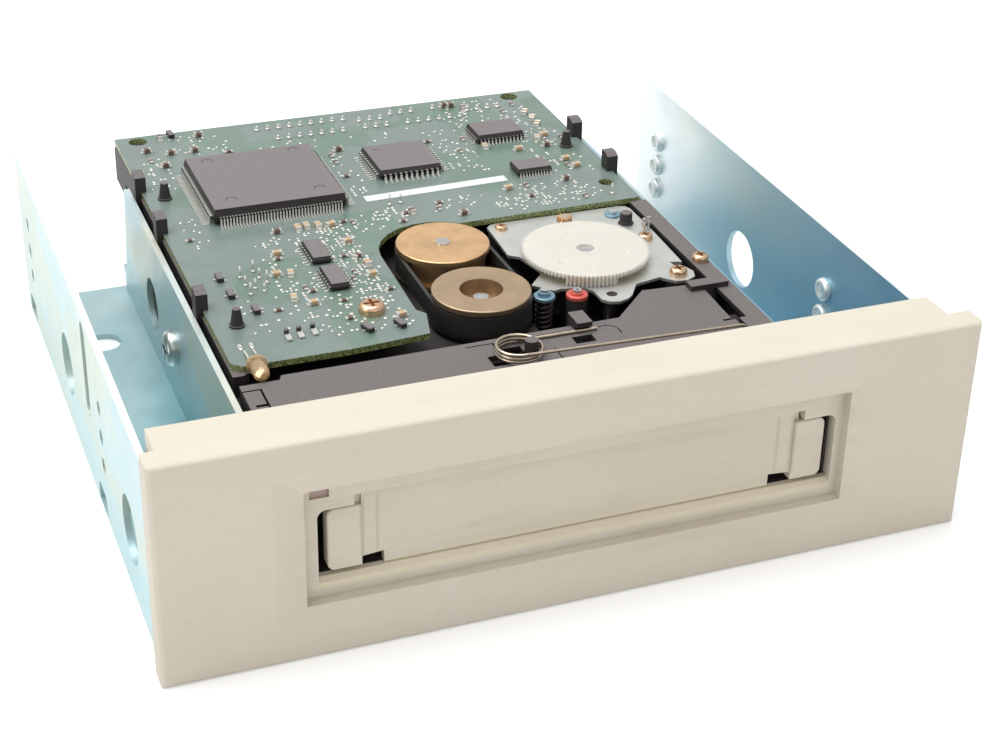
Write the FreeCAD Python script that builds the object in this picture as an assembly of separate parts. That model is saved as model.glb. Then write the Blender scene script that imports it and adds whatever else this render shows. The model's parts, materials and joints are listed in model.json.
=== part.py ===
"""Half-height bay tape drive: 3.5-inch mini-cartridge drive in a 5.25-inch bay adaptor.

Frame: X right, Y back, Z up, millimetres. The origin lies under the middle of the whole unit.
Lengths called "d" are depths behind the front face; y(d) turns one into Y.
"""
import os
import math
import FreeCAD, Part
from FreeCAD import Vector

# ---------------------------------------------------------------- driving dimensions
OVERALL_D = 157.0            # bezel face to the end of the rear connectors
BEZEL_W, BEZEL_H, BEZEL_T = 148.0, 42.0, 5.0
LIP_INSET, LIP_END, LIP_WALL = 1.5, 14.4, 2.0
SKIN_T = 3.0                 # bezel skin between the rim and the drive
WINDOW_W, WINDOW_H, WINDOW_MID_Z = 98.6, 22.2, 20.9
BEVEL_RUN_X, BEVEL_RUN_Z, BEVEL_DEPTH = 5.2, 4.1, 1.0

BAY_W = 146.0                # outside faces of the two brackets
SHEET = 1.2                  # bracket sheet steel
BRACKET_TOP, BRACKET_END = 36.9, 140.0
INNER_TOP = 28.3
DRIVE_W, DRIVE_Z0 = 101.6, 6.3
HOLE_PITCH_Y, HOLE_PITCH_Z = 79.25, 11.84
HOLE_D0, HOLE_Z0 = 50.0, 12.7
FLOOR_HOLE_X, FLOOR_HOLE_D0 = 139.7 / 2, 54.0
TAP_R, COLLAR_R, COLLAR_H = 1.45, 2.4, 1.3
ACCESS_R, ACCESS_D, ACCESS_Z = 6.25, (26.0, 86.0), 14.3
SIDE_SCREW_D, SIDE_SCREW_Z = (26.0, 86.0), 14.2

BOARD_TOP, BOARD_T = 29.9, 1.2
CHASSIS_TOP = BOARD_TOP - BOARD_T   # board rests
FACE_D, FACE_T = 3.0, 2.2    # drive front panel
CHASSIS_D0 = FACE_D + FACE_T
WALL_IN = 47.4               # inside faces of the chassis side walls
BASE_END = OVERALL_D - 29.0  # the deep part of the chassis ends here
BOARD_END = OVERALL_D - 1.0
BAY_FLOOR, BAY_ROOF = 13.2, 28.6
COVER_TOP = 29.4
BAY_END = 49.6
DECK_Z0, DECK_Z1, DECK_D0 = 21.8, 23.8, 52.0

BOARD_X0, BOARD_X1 = -49.4, 49.5
BOARD_FRONT = 91.3           # front edge of its right part

SLOT_X, SLOT_CENTRE_X, SLOT_MID_X = 47.3, 41.0, 0.6
SLOT_Z0, SLOT_Z1, SLOT_CENTRE_Z = 13.2, 26.7, 28.6
HINGE_D, HINGE_Z, HINGE_R = 5.7, 29.9, 0.5
FIT = 0.05                   # running fit, radial

BRASS_TOP, RIM_Z0 = 31.0, 29.9
MOTOR_X, MOTOR_D = 2.0, 81.8
CAPSTAN_X, CAPSTAN_D = 2.3, 60.2
DISC_R, RING_R = 9.42, 9.62
PULLEY_R, CROWN_R = 9.0, 8.7
SHAFT_R = 1.5
BELT_Z0, BELT_Z1, BELT_T, BELT_GAP = 25.6, 29.6, 0.7, 0.15
ROLLER_R, ROLLER_Z0, ROLLER_Z1 = 10.2, 15.0, 20.4

PLATE_Z0, PLATE_Z1 = 28.2, 28.8
GEAR_X, GEAR_D, GEAR_Z0, GEAR_Z1 = 28.05, 70.1, 30.2, 31.1
MODULE, GEAR_TEETH, PINION_TEETH = 0.254, 100, 11
PINION_ANGLE = math.radians(85.0)
GEAR_R, PINION_R = MODULE * GEAR_TEETH / 2, MODULE * PINION_TEETH / 2
CENTRES = GEAR_R + PINION_R + 0.03
PINION_X = GEAR_X + CENTRES * math.cos(PINION_ANGLE)
PINION_D = GEAR_D + CENTRES * math.sin(PINION_ANGLE)
LIFT_SCREW_R, GUIDE_R = 1.85, 1.5
GUIDE_X, GUIDE_D = 27.0, 54.2
HEAD_D0, HEAD_D1 = 49.9, 53.3

FRONT_Y = -OVERALL_D / 2


# ---------------------------------------------------------------- helpers
def y(d):
    return FRONT_Y + d


def box(x0, x1, d0, d1, z0, z1):
    return Part.makeBox(x1 - x0, d1 - d0, z1 - z0, Vector(x0, y(d0), z0))


def rod_z(x, d, z0, z1, r):
    return Part.makeCylinder(r, z1 - z0, Vector(x, y(d), z0), Vector(0, 0, 1))


def rod_x(x0, x1, d, z, r):
    return Part.makeCylinder(r, x1 - x0, Vector(x0, y(d), z), Vector(1, 0, 0))


def rod_y(x, d0, d1, z, r):
    return Part.makeCylinder(r, d1 - d0, Vector(x, y(d0), z), Vector(0, 1, 0))


def cone_z(x, d, z0, z1, r0, r1):
    return Part.makeCone(r0, r1, z1 - z0, Vector(x, y(d), z0), Vector(0, 0, 1))


def prism(points, z0, z1):
    """Upright prism over (x, d) points."""
    ring = [Vector(px, y(pd), z0) for px, pd in points]
    return Part.Face(Part.makePolygon(ring + ring[:1])).extrude(Vector(0, 0, z1 - z0))


def prism_x(points, x0, x1):
    """Prism along X over (d, z) points."""
    ring = [Vector(x0, y(pd), pz) for pd, pz in points]
    return Part.Face(Part.makePolygon(ring + ring[:1])).extrude(Vector(x1 - x0, 0, 0))


def union(shapes):
    shapes = list(shapes)
    return shapes[0].multiFuse(shapes[1:]).removeSplitter() if len(shapes) > 1 else shapes[0]


def less(shape, cuts):
    return shape.cut(list(cuts)).removeSplitter()


def mirror_x(shape):
    return shape.mirror(Vector(0, 0, 0), Vector(1, 0, 0))


def both(shape):
    return [shape, mirror_x(shape)]


def edges_at(shape, test):
    return [e for e in shape.Edges if test(e.BoundBox)]


def soften(shape, radius, test):
    edges = edges_at(shape, test)
    return shape.makeFillet(radius, edges) if edges else shape


def near(a, b):
    return abs(a - b) < 0.02


def pan_screw(x, d, z, head_r, head_h, shank_r, shank_l):
    """Cross-headed pan screw standing on z, pointing down."""
    head = rod_z(x, d, z, z + head_h, head_r)
    head = soften(head, head_h * 0.55, lambda b: near(b.ZMin, z + head_h) and near(b.ZMax, z + head_h))
    reach, half = head_r * 0.62, head_r * 0.13
    cross = [box(x - reach, x + reach, d - half, d + half, z + head_h * 0.45, z + head_h + 1),
             box(x - half, x + half, d - reach, d + reach, z + head_h * 0.45, z + head_h + 1)]
    return union([less(head, cross), rod_z(x, d, z - shank_l, z, shank_r)])


def turned(shape, centre, axis, degrees):
    out = shape.copy()
    out.rotate(centre, axis, degrees)
    return out


def wire_run(points, r):
    """Round wire through 3-D points (x, d, z) with ball joints at the bends."""
    pts = [Vector(px, y(pd), pz) for px, pd, pz in points]
    parts = []
    for a, b in zip(pts, pts[1:]):
        parts.append(Part.makeCylinder(r, (b - a).Length, a, b - a))
    for p in pts[1:-1]:
        parts.append(Part.makeSphere(r, p))
    return union(parts)


def coil(x, d, z0, mean_r, wire_r, pitch, turns):
    helix = Part.makeHelix(pitch, pitch * turns, mean_r)
    start = Vector(mean_r, 0, 0)
    ring = Part.Wire([Part.makeCircle(wire_r, start, Vector(0, 1, 0))])
    body = Part.Wire(helix).makePipeShell([ring], True, True)
    body.translate(Vector(x, y(d), z0))
    return body


os.makedirs("parts", exist_ok=True)


def save(name, shape):
    shapes = shape if isinstance(shape, list) else [shape]
    out = shapes[0] if len(shapes) == 1 else Part.Compound(shapes)
    out.exportStep("parts/%s.step" % name)


# ---------------------------------------------------------------- bay adaptor: bezel
def make_bezel():
    hw = BEZEL_W / 2
    plate = box(-hw, hw, 0, BEZEL_T, 0, BEZEL_H)
    plate = soften(plate, 1.0, lambda b: near(b.YMin, y(0)) and near(b.YMax, y(0)))
    lip = box(-hw + LIP_INSET + 1.3, hw - LIP_INSET - 1.3, 2, LIP_END, LIP_INSET, BEZEL_H - LIP_INSET)
    inner_x = hw - LIP_INSET - 1.3 - LIP_WALL
    z0, z1 = LIP_INSET + LIP_WALL, BEZEL_H - LIP_INSET - LIP_WALL
    pocket = box(-inner_x, inner_x, SKIN_T, LIP_END + 1, z0, z1)
    ww, wh = WINDOW_W / 2, WINDOW_H / 2
    window = box(-ww, ww, -1, SKIN_T + 1, WINDOW_MID_Z - wh, WINDOW_MID_Z + wh)

    def ring(d, gx, gz):
        corners = [(-1, -1), (1, -1), (1, 1), (-1, 1), (-1, -1)]
        return Part.makePolygon([Vector(sx * (ww + gx), y(d), WINDOW_MID_Z + sz * (wh + gz)) for sx, sz in corners])
    bevel = Part.makeLoft([ring(0, BEVEL_RUN_X, BEVEL_RUN_Z), ring(BEVEL_DEPTH, 0, 0)], True, True)
    bosses = []
    for sx in (-1, 1):
        bosses.append(rod_y(sx * FLANGE_X, SKIN_T - 0.5, LIP_END, FLANGE_Z, 3.2))
    shell = less(union([plate, lip]), [pocket, window, bevel])
    outer = BAY_W / 2 - SHEET - FIT
    relief = [box(sx * (outer + 3) - 3, sx * (outer + 3) + 3, BEZEL_T + 0.1, LIP_END + 1, 0, BRACKET_TOP + FIT)
              for sx in (-1, 1)]
    pilots = [rod_y(sx * FLANGE_X, LIP_END - 9, LIP_END + 1, FLANGE_Z, 1.2) for sx in (-1, 1)]
    return less(union([shell] + bosses), pilots + relief)


# ---------------------------------------------------------------- bay adaptor: brackets
FLANGE_X, FLANGE_Z, FLANGE_D = 61.0, 9.0, LIP_END


def make_bracket(side):
    """The right bracket for side 1; the left is its mirror with one more slot."""
    out_x, in_x = BAY_W / 2, DRIVE_W / 2
    outer = box(out_x - SHEET, out_x, BEZEL_T + 0.2, BRACKET_END, 0, BRACKET_TOP)
    floor = box(in_x, out_x, LIP_END + 0.6, BRACKET_END + 1, 0, SHEET)
    lip_top, lip_end = LIP_INSET + LIP_WALL + FIT, LIP_END + 0.6
    inner = prism_x([(CHASSIS_D0 + 3, lip_top), (lip_end, lip_top), (lip_end, 0), (BRACKET_END - 0.5, 0), (BRACKET_END - 1.2, 5.2),
                     (BRACKET_END + 0.4, 5.6), (BRACKET_END + 0.2, 7.0), (BRACKET_END - 3.0, 7.6),
                     (132.5, INNER_TOP), (CHASSIS_D0 + 3, INNER_TOP)], in_x, in_x + SHEET)
    flange = box(FLANGE_X - 7, FLANGE_X + 7, FLANGE_D, FLANGE_D + SHEET, 0, FLANGE_Z + 6)
    body = union([outer, floor, inner, flange])
    body = soften(body, 1.1, lambda b: b.YLength > 100 and near(b.ZMax, 0)
                  and (near(b.XMin, out_x) or near(b.XMax, in_x)))
    body = soften(body, 2.2, lambda b: b.XLength < SHEET + 0.1 and near(b.ZMin, BRACKET_TOP) and near(b.YMin, y(BRACKET_END))
                  and near(b.YMax, y(BRACKET_END)))
    adds, cuts = [], []
    for d in (HOLE_D0, HOLE_D0 + HOLE_PITCH_Y):
        for z in (HOLE_Z0, HOLE_Z0 + HOLE_PITCH_Z / 2, HOLE_Z0 + HOLE_PITCH_Z):
            collar = rod_x(out_x - SHEET - COLLAR_H, out_x - SHEET, d, z, COLLAR_R)
            collar = soften(collar, 0.8, lambda b: near(b.XMax, out_x - SHEET - COLLAR_H))
            adds.append(collar)
            cuts.append(rod_x(out_x - 5, out_x + 1, d, z, TAP_R))
    for d in (FLOOR_HOLE_D0, FLOOR_HOLE_D0 + HOLE_PITCH_Y):
        adds.append(rod_z(FLOOR_HOLE_X, d, SHEET, SHEET + COLLAR_H, COLLAR_R))
        cuts.append(rod_z(FLOOR_HOLE_X, d, -1, 4, TAP_R))
        notch = box(out_x - SHEET - 0.01, out_x + 1, d - 4, d + 4, SHEET, 3.4)
        cuts += [notch, rod_x(out_x - SHEET - 0.01, out_x + 1, d - 2, 3.4, 2.0),
                 rod_x(out_x - SHEET - 0.01, out_x + 1, d + 2, 3.4, 2.0),
                 box(out_x - SHEET - 0.01, out_x + 1, d - 2, d + 2, 3.3, 5.4)]
    for d in ACCESS_D:
        cuts.append(rod_x(out_x - 3, out_x + 1, d, ACCESS_Z, ACCESS_R))
    for d in SIDE_SCREW_D:
        cuts.append(rod_x(in_x - 1, in_x + 3, d, SIDE_SCREW_Z, 1.75))
    cuts.append(rod_x(in_x - 1, in_x + 3, 108.0, 13.0, 5.5))
    cuts.append(rod_z(61.5, 116.5, -1, 3, 3.75))
    cuts.append(rod_y(FLANGE_X, FLANGE_D - 1, FLANGE_D + 3, FLANGE_Z, 1.7))
    if side < 0:
        slot_d, slot_w = 62.5, 4.4
        cuts += [box(out_x - 3, out_x + 1, slot_d - slot_w / 2, slot_d + slot_w / 2, 18.2, 33.1),
                 rod_x(out_x - 3, out_x + 1, slot_d, 18.2, slot_w / 2),
                 rod_x(out_x - 3, out_x + 1, slot_d, 33.1, slot_w / 2)]
    body = less(union([body] + adds), cuts)
    return body if side > 0 else mirror_x(body)


def make_side_screws():
    screws = []
    base_x = DRIVE_W / 2 + SHEET
    for d in SIDE_SCREW_D:
        head = rod_x(base_x, base_x + 2.2, d, SIDE_SCREW_Z, 3.6)
        head = soften(head, 1.3, lambda b: near(b.XMin, base_x + 2.2))
        cross = [box(base_x + 1.0, base_x + 3, d - 2.2, d + 2.2, SIDE_SCREW_Z - 0.45, SIDE_SCREW_Z + 0.45),
                 box(base_x + 1.0, base_x + 3, d - 0.45, d + 0.45, SIDE_SCREW_Z - 2.2, SIDE_SCREW_Z + 2.2)]
        shank = rod_x(base_x - SHEET - 2.6, base_x, d, SIDE_SCREW_Z, 1.4)
        screws += both(union([less(head, cross), shank]))
    return screws


def make_bezel_screws():
    out = []
    for sx in (-1, 1):
        d = FLANGE_D + SHEET
        head = soften(rod_y(sx * FLANGE_X, d, d + 2, FLANGE_Z, 3.0), 1.1, lambda b: near(b.YMin, y(d + 2)))
        slot = box(sx * FLANGE_X - 3.2, sx * FLANGE_X + 3.2, d + 1.1, d + 3, FLANGE_Z - 0.4, FLANGE_Z + 0.4)
        out.append(union([less(head, [slot]), rod_y(sx * FLANGE_X, d - 8, d, FLANGE_Z, 1.2)]))
    return out


# ---------------------------------------------------------------- chassis
SCREW_POSTS = [(17.0, 88.3), (43.3, 74.7), (42.9, 58.0)]
RAIL_SCREW = (49.1, 61.1)
RAIL_IN, RAIL_FRONT_IN, RAIL_END = 47.0, 45.5, 91.0
MOTOR_R, STEPPER_R = 11.0, 9.0
CARRIAGE_OPEN = (11.6, 38.0, 51.0, 77.0)
NUT_STUDS = [(14.2, 57.4), (20.4, 55.9)]
STOP_POST, SENSOR_PINS = (42.5, 82.7), [(44.5, 78.0), (45.7, 78.5)]
GATE_MARKS = [(27.5, 77.9), (35.0, 65.8), (21.2, 65.8), (25.5, 61.7)]
LIGHT_X0, LIGHT_X1, LIGHT_Z0, LIGHT_Z1 = -47.9, -44.6, 29.1, 30.9
LED_X, LED_TIP_D, PIPE_X1 = -45.2, 41.6, -45.7


def make_chassis():
    w = DRIVE_W / 2
    base_t = 2.0
    parts = [box(-w, w, CHASSIS_D0, BASE_END, DRIVE_Z0, DRIVE_Z0 + base_t)]
    parts += [box(-w, -WALL_IN, CHASSIS_D0, BASE_END, DRIVE_Z0, 24.5),
              box(-w + 1.1, -WALL_IN, CHASSIS_D0, 41.0, 24.4, BAY_ROOF),
              box(-w + 1.1, -46.6, 46.0, BOARD_END - 1.4, 24.5, CHASSIS_TOP),
              box(WALL_IN, w, CHASSIS_D0, BASE_END, DRIVE_Z0, CHASSIS_TOP),
              box(WALL_IN, w, CHASSIS_D0, RAIL_END, CHASSIS_TOP - 0.1, BAY_ROOF + 0.1),
              box(RAIL_IN, w - 0.1, SLOT_D0, RAIL_END, BAY_ROOF, COVER_TOP),
              box(RAIL_FRONT_IN, w - 0.1, 24.0, SLOT_D0, BAY_ROOF, COVER_TOP),
              box(46.4, w - 1.1, BASE_END - 1, BOARD_END - 1.4, 24.5, CHASSIS_TOP)]
    parts += [box(-w + 1.1, -46.6, BASE_END - 1, BASE_END + 8, 21.0, 25.0),
              box(-w + 1.1, -45.0, BOARD_END - 12.5, BOARD_END - 1.4, 21.0, CHASSIS_TOP),
              box(46.4, w - 1.1, BASE_END - 1, BASE_END + 8, 21.0, 25.0),
              box(45.0, w - 1.1, BOARD_END - 12.5, BOARD_END - 1.4, 21.0, CHASSIS_TOP),
              box(-w + 1.1, w - 1.1, BASE_END - 1, BASE_END + 1.2, 21.0, 25.2),
              box(-WALL_IN, WALL_IN, BASE_END - 2, BASE_END, DRIVE_Z0, DECK_Z1),
              box(-WALL_IN, WALL_IN, CHASSIS_D0, BAY_END, BAY_FLOOR - 1.6, BAY_FLOOR),
              box(-WALL_IN, -11.5, DECK_D0, DECK_D0 + 1.8, DRIVE_Z0, DECK_Z1),
              box(38.0, WALL_IN, DECK_D0, DECK_D0 + 1.8, DRIVE_Z0, DECK_Z1),
              box(-WALL_IN, WALL_IN, DECK_D0, BASE_END, DECK_Z0, DECK_Z1)]
    # guide for the sprung slide on the right of the cartridge bay
    parts += [box(43.2, WALL_IN, SLIDE_D0 - 5, DECK_D0, SLIDE_Z0 - 2.3, SLIDE_Z0 - 0.3),
              box(43.2, 43.9, SLIDE_D0 - 5, DECK_D0, SLIDE_Z0 - 0.4, SLIDE_Z0 + 1.8)]
    # bridge over the end of the slot, rail boss, board rests
    parts += [box(41.4, 49.4, 49.0, 51.6, COVER_TOP + 0.06, COVER_TOP + 1.1),
              box(RAIL_IN, 49.4, 49.0, 51.6, COVER_TOP - 0.5, COVER_TOP + 1.1)]
    for px, pd in SCREW_POSTS:
        parts.append(rod_z(px, pd, DECK_Z1 - 1, PLATE_Z0, 2.6))
    parts += [rod_z(BOARD_SCREW[0], BOARD_SCREW[1], DECK_Z1 - 1, CHASSIS_TOP, 3.0)]
    for px, pd in BOARD_POSTS:
        parts.append(rod_z(px, pd, DECK_Z1 - 1, CHASSIS_TOP, 2.4))
    parts.append(rod_z(CAPSTAN_X, CAPSTAN_D, DRIVE_Z0 + 1, 10.6, 4.6))
    parts.append(rod_z(NUT_STUDS[0][0], NUT_STUDS[0][1], DRIVE_Z0 + 1, STUD_Z, 1.9))
    parts.append(rod_z(GUIDE_X, GUIDE_D, DRIVE_Z0 + 1, 11.0, 3.0))
    # clips that hook over the board edge
    for side, pd in CLIPS:
        edge = BOARD_X1 if side > 0 else BOARD_X0
        hook = [box(edge + 0.15, edge + 1.2, pd - 1.6, pd + 1.6, CHASSIS_TOP - 3.5, BOARD_TOP + 4.0),
                box(edge - 1.3, edge + 1.2, pd - 1.6, pd + 1.6, BOARD_TOP + 0.12, BOARD_TOP + 4.0)]
        if side < 0:
            hook = [box(edge - 1.3, edge - 0.15, pd - 1.6, pd + 1.6, CHASSIS_TOP - 3.5, BOARD_TOP + 4.0),
                    box(edge - 1.3, edge + 1.0, pd - 1.6, pd + 1.6, BOARD_TOP + 0.12, BOARD_TOP + 4.0)]
        clip = union(hook)
        clip = less(clip, [turned(box(edge - 6, edge + 6, pd - 4, pd, BOARD_TOP + 3.4, BOARD_TOP + 8),
                                  Vector(edge, y(pd - 1.6), BOARD_TOP + 3.4), Vector(1, 0, 0), 24)])
        parts.append(clip)
    body = union(parts)
    x0, x1, d0, d1 = CARRIAGE_OPEN
    cuts = [box(x0, x1, d0, d1, DECK_Z0 - 1, DECK_Z1 + 1),
            rod_z(MOTOR_X, MOTOR_D, DECK_Z0 - 1, DECK_Z1 + 1, 4.2),
            rod_z(PINION_X, PINION_D, DECK_Z0 - 1, DECK_Z1 + 1, STEPPER_R + 0.6),
            rod_z(CAPSTAN_X, CAPSTAN_D, 8.3, DECK_Z1 + 1, BUSH_R)]
    for d in SIDE_SCREW_D:
        cuts += [rod_x(-w - 1, -w + 3.0, d, SIDE_SCREW_Z, 1.4), rod_x(w - 3.0, w + 1, d, SIDE_SCREW_Z, 1.4)]
    for px, pd in SCREW_POSTS + [BOARD_SCREW]:
        cuts.append(rod_z(px, pd, DECK_Z0 - 0.1, PLATE_Z0 + 1, 0.95))
    for px, pd in BOARD_POSTS:
        cuts.append(rod_z(px, pd, DECK_Z1 + 0.5, PLATE_Z0 + 1, 1.1))
    cuts += [rod_z(RAIL_SCREW[0], RAIL_SCREW[1], COVER_TOP - 4.7, COVER_TOP + 2, 0.95),
             rod_z(GUIDE_X, GUIDE_D, DRIVE_Z0 + 0.9, 13, GUIDE_R),
             rod_z(NUT_STUDS[0][0], NUT_STUDS[0][1], 14.0, STUD_Z + 1, STUD_R),
             box(-44.0, 44.0, 100.0, 122.0, DRIVE_Z0 - 1, DRIVE_Z0 + base_t + 1),
             box(-47.4, -44.4, 40.5, 46.5, 25.0, CHASSIS_TOP + 1),
             box(WALL_IN - 0.1, w - 1.6, SLOT_D0 - 1, DECK_D0 - 2, SLIDE_Z1 - 3.1, BAY_ROOF - 0.6)]
    cuts.append(rod_z(NUT_STUDS[0][0], NUT_STUDS[0][1], STUD_Z, 40, 3.0))
    return less(body, cuts)


# ---------------------------------------------------------------- front cover over the cartridge bay
COIL_X, COIL_D, COIL_R, COIL_WIRE = 0.9, 36.5, 4.2, 0.32
POST_X, POST_D, POST_R = 3.4, 36.7, 1.3
HOOK_X0, HOOK_X1, HOOK_D0, HOOK_L, HOOK_NECK = 14.0, 17.0, 40.5, 4.8, 1.2
COVER_REAR = 42.9
RAISED_END = 23.6
TAB_X, SLOT_SIDE, SLOT_D0 = 44.5, 43.9, 36.6   # right tab; clearance slot beside the right rail
GROOVE = 0.35


def make_cover():
    left = -DRIVE_W / 2 + 1.1
    low, high = BAY_ROOF - 1, COVER_TOP + 1
    outline = [(left, RAISED_END - 1), (TAB_X, RAISED_END - 1), (TAB_X, SLOT_D0), (SLOT_SIDE, SLOT_D0),
               (SLOT_SIDE + 0.5, 51.8), (32.6, 52.6), (23.9, COVER_REAR + 0.9), (-30.0, COVER_REAR),
               (-41.7, COVER_REAR), (-42.4, COVER_REAR - 1.5), (left, COVER_REAR - 1.5)]
    sheet = prism(outline, BAY_ROOF, COVER_TOP)
    roof_z0 = 31.0
    raised = box(left, DRIVE_W / 2 - 0.6, CHASSIS_D0 + 0.1, RAISED_END, roof_z0, roof_z0 + 0.9)
    riser = box(left, TAB_X, RAISED_END - 1, RAISED_END, BAY_ROOF, roof_z0 + 0.5)
    sides = [box(left, left + 1.4, CHASSIS_D0 + 0.1, RAISED_END, BAY_ROOF, roof_z0 + 0.5),
             box(48.0, DRIVE_W / 2 - 0.6, CHASSIS_D0 + 0.1, RAISED_END, BAY_ROOF + 0.1, roof_z0 + 0.5)]
    hook_d1 = HOOK_D0 + HOOK_L
    hook = box(HOOK_X0, HOOK_X1, HOOK_D0 + HOOK_NECK, hook_d1, BAY_ROOF, COVER_TOP + 2.0)
    hook_top = box(HOOK_X0, HOOK_X1, HOOK_D0, hook_d1, COVER_TOP + 1.0, COVER_TOP + 2.0)
    post = soften(rod_z(POST_X, POST_D, BAY_ROOF, COVER_TOP + 2.6, POST_R), 0.2,
                  lambda b: near(b.ZMin, COVER_TOP + 2.6))
    body = union([sheet, raised, riser] + sides + [hook, hook_top, post])
    cuts = [box(12.4, 16.4, HOOK_D0 - 3.7, HOOK_D0 - 1.1, low, COVER_TOP + 0.01),
            box(-4.9, -1.4, 33.6, 37.4, low, COVER_TOP + 0.01),
            box(-2.2, 2.2, 35.6, 39.4, low, COVER_TOP + 0.01),
            box(-2.4, -2.0, 39.3, 42.0, low, high), box(-7.5, -2.0, 41.7, 42.0, low, high),
            box(6.5, 13.2, 41.6, 42.1, low, high),
            box(LIGHT_X0, PIPE_X1, RAISED_END - 2, RAISED_END + 1, LIGHT_Z0, LIGHT_Z1),
            box(FORK_X - 0.7, TAB_X + 1, FORK_D - 0.8, FORK_D + 0.8, low, high),
            box(42.1, SLOT_SIDE + 1, SLOT_D0 - 0.4, SLOT_D0 + 0.2, low, high),
            box(-48.6, -46.4, 33.3, 34.1, low, high),
            box(-46.6, -46.2, 30.6, 39.4, low, high), box(left - 1, -46.2, 39.0, 39.4, low, high)]
    swirl = ring_z(19.9, 39.6, 2.2, 0.25, COVER_TOP - GROOVE, high)
    grooves = [quarter(swirl, 19.9, 39.6), box(17.3, 19.9, 41.55, 41.8, COVER_TOP - GROOVE, high),
               box(21.85, 22.1, 38.0, 39.6, COVER_TOP - GROOVE, high),
               box(7.85, 8.1, 31.5, 36.7, COVER_TOP - GROOVE, high)]
    return less(body, cuts + grooves)


def ring_z(x, d, r, width, z0, z1):
    return rod_z(x, d, z0, z1, r).cut(rod_z(x, d, z0 - 1, z1 + 1, r - width))


def quarter(ring, x, d):
    return ring.common(box(x, x + 10, d, d + 10, 0, 60))


# ---------------------------------------------------------------- drive front panel, door, status light
PIN_HALF = SLOT_CENTRE_X + 2.1


def slot_prism(grow, d0, d1):
    r = 1.6
    ends = box(-SLOT_X - grow, SLOT_X + grow, d0, d1, SLOT_Z0 - grow, SLOT_Z1 + grow)
    ends = soften(ends, r, lambda b: b.YLength > 0.5 * (d1 - d0) and b.XLength + b.ZLength < 0.01
                  and b.ZMin > 20)
    centre = box(-SLOT_CENTRE_X - grow, SLOT_CENTRE_X + grow, d0, d1, SLOT_Z0 - grow, SLOT_CENTRE_Z + grow)
    return shifted(union([ends, centre]))


def shifted(shape):
    """The slot and all that hangs in it sit a little right of the middle."""
    shape.translate(Vector(SLOT_MID_X, 0, 0))
    return shape


def make_face():
    w = DRIVE_W / 2 - 0.3
    top = 33.0
    panel = box(-w, w, FACE_D, CHASSIS_D0, DRIVE_Z0, top)
    sill = prism_x([(FACE_D, SLOT_Z0 - 0.6), (FACE_D, SLOT_Z0 + 1), (CHASSIS_D0 + 1, SLOT_Z0 + 1),
                    (CHASSIS_D0 + 1, SLOT_Z0 + 0.001), (FACE_D + 1.0, SLOT_Z0 + 0.001)], -SLOT_X, SLOT_X)
    recess = box(-SLOT_CENTRE_X - 0.4, SLOT_CENTRE_X + 0.4, FACE_D + 1.2, CHASSIS_D0 + 1, SLOT_CENTRE_Z - 1, 31.3)
    cuts = [slot_prism(0, FACE_D - 1, CHASSIS_D0 + 1), shifted(sill), shifted(recess),
            box(LIGHT_X0, LIGHT_X1, FACE_D - 1, CHASSIS_D0 + 1, LIGHT_Z0, LIGHT_Z1)]
    lug_in, lug_out = SLOT_CENTRE_X + 0.6, SLOT_CENTRE_X + 2.2
    lugs = [shifted(box(min(sx * lug_in, sx * lug_out), max(sx * lug_in, sx * lug_out), FACE_D + 1.5, HINGE_D + 1.3,
                        HINGE_Z - 1.1, HINGE_Z + 1.1)) for sx in (-1, 1)]
    body = union([less(panel, cuts)] + lugs)
    return less(body, [shifted(rod_x(-PIN_HALF - 0.2, PIN_HALF + 0.2, HINGE_D, HINGE_Z, HINGE_R))])


def make_door():
    front, back = FACE_D + 1.5, FACE_D + 2.9
    half = SLOT_CENTRE_X - 0.4
    panel = box(-half, half, front, back, 15.6, SLOT_CENTRE_Z - 0.25)
    skirt = box(-35.6, 35.6, front, back, SLOT_Z0 + 0.12, 16.0)
    neck = box(-half, half, HINGE_D - 0.3, back, SLOT_CENTRE_Z - 1, HINGE_Z)
    barrel = rod_x(-half, half, HINGE_D, HINGE_Z, 0.95)
    step = prism([(36.2, front), (36.2, front + 0.4), (39.6, front + 0.4), (39.6, front - 0.45),
                  (38.9, front - 0.35), (36.9, front - 0.1)], 15.61, SLOT_CENTRE_Z - 0.26)
    tab_end = SLOT_X - 1.75
    tab = box(SLOT_CENTRE_X - 1.4, tab_end, FACE_D + 0.5, back, SLOT_Z0 + 1.0, SLOT_Z1 - 0.6)
    tab = soften(tab, 1.3, lambda b: b.YLength > 2 and b.XLength + b.ZLength < 0.01 and near(b.XMin, tab_end))
    tab = soften(tab, 0.35, lambda b: near(b.YMin, y(FACE_D + 0.5)) and near(b.YMax, y(FACE_D + 0.5)))
    body = union([panel, skirt, neck, barrel] + both(step) + both(tab))
    spring_gap = rod_x(-36.4, -32.4, HINGE_D, HINGE_Z, 2.0)
    return shifted(less(body, [spring_gap, rod_x(-50, 50, HINGE_D, HINGE_Z, HINGE_R + FIT)]))


def make_door_spring():
    body = coil(0, 0, 0, 0.78, 0.13, 0.36, 9)
    body.translate(Vector(0, -y(0), 0))
    body.rotate(Vector(0, 0, 0), Vector(0, 1, 0), 90)
    body.translate(Vector(-36.1, y(HINGE_D), HINGE_Z))
    return shifted(body)


# ---------------------------------------------------------------- sprung slide beside the cartridge
SLIDE_Z0, SLIDE_Z1, SLIDE_D0, SLIDE_L = 19.5, 27.6, 30.0, 11.0
SLIDE_X0, SLIDE_X1 = 44.3, WALL_IN - 0.3
FORK_X, FORK_D = 45.0, 32.6


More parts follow.
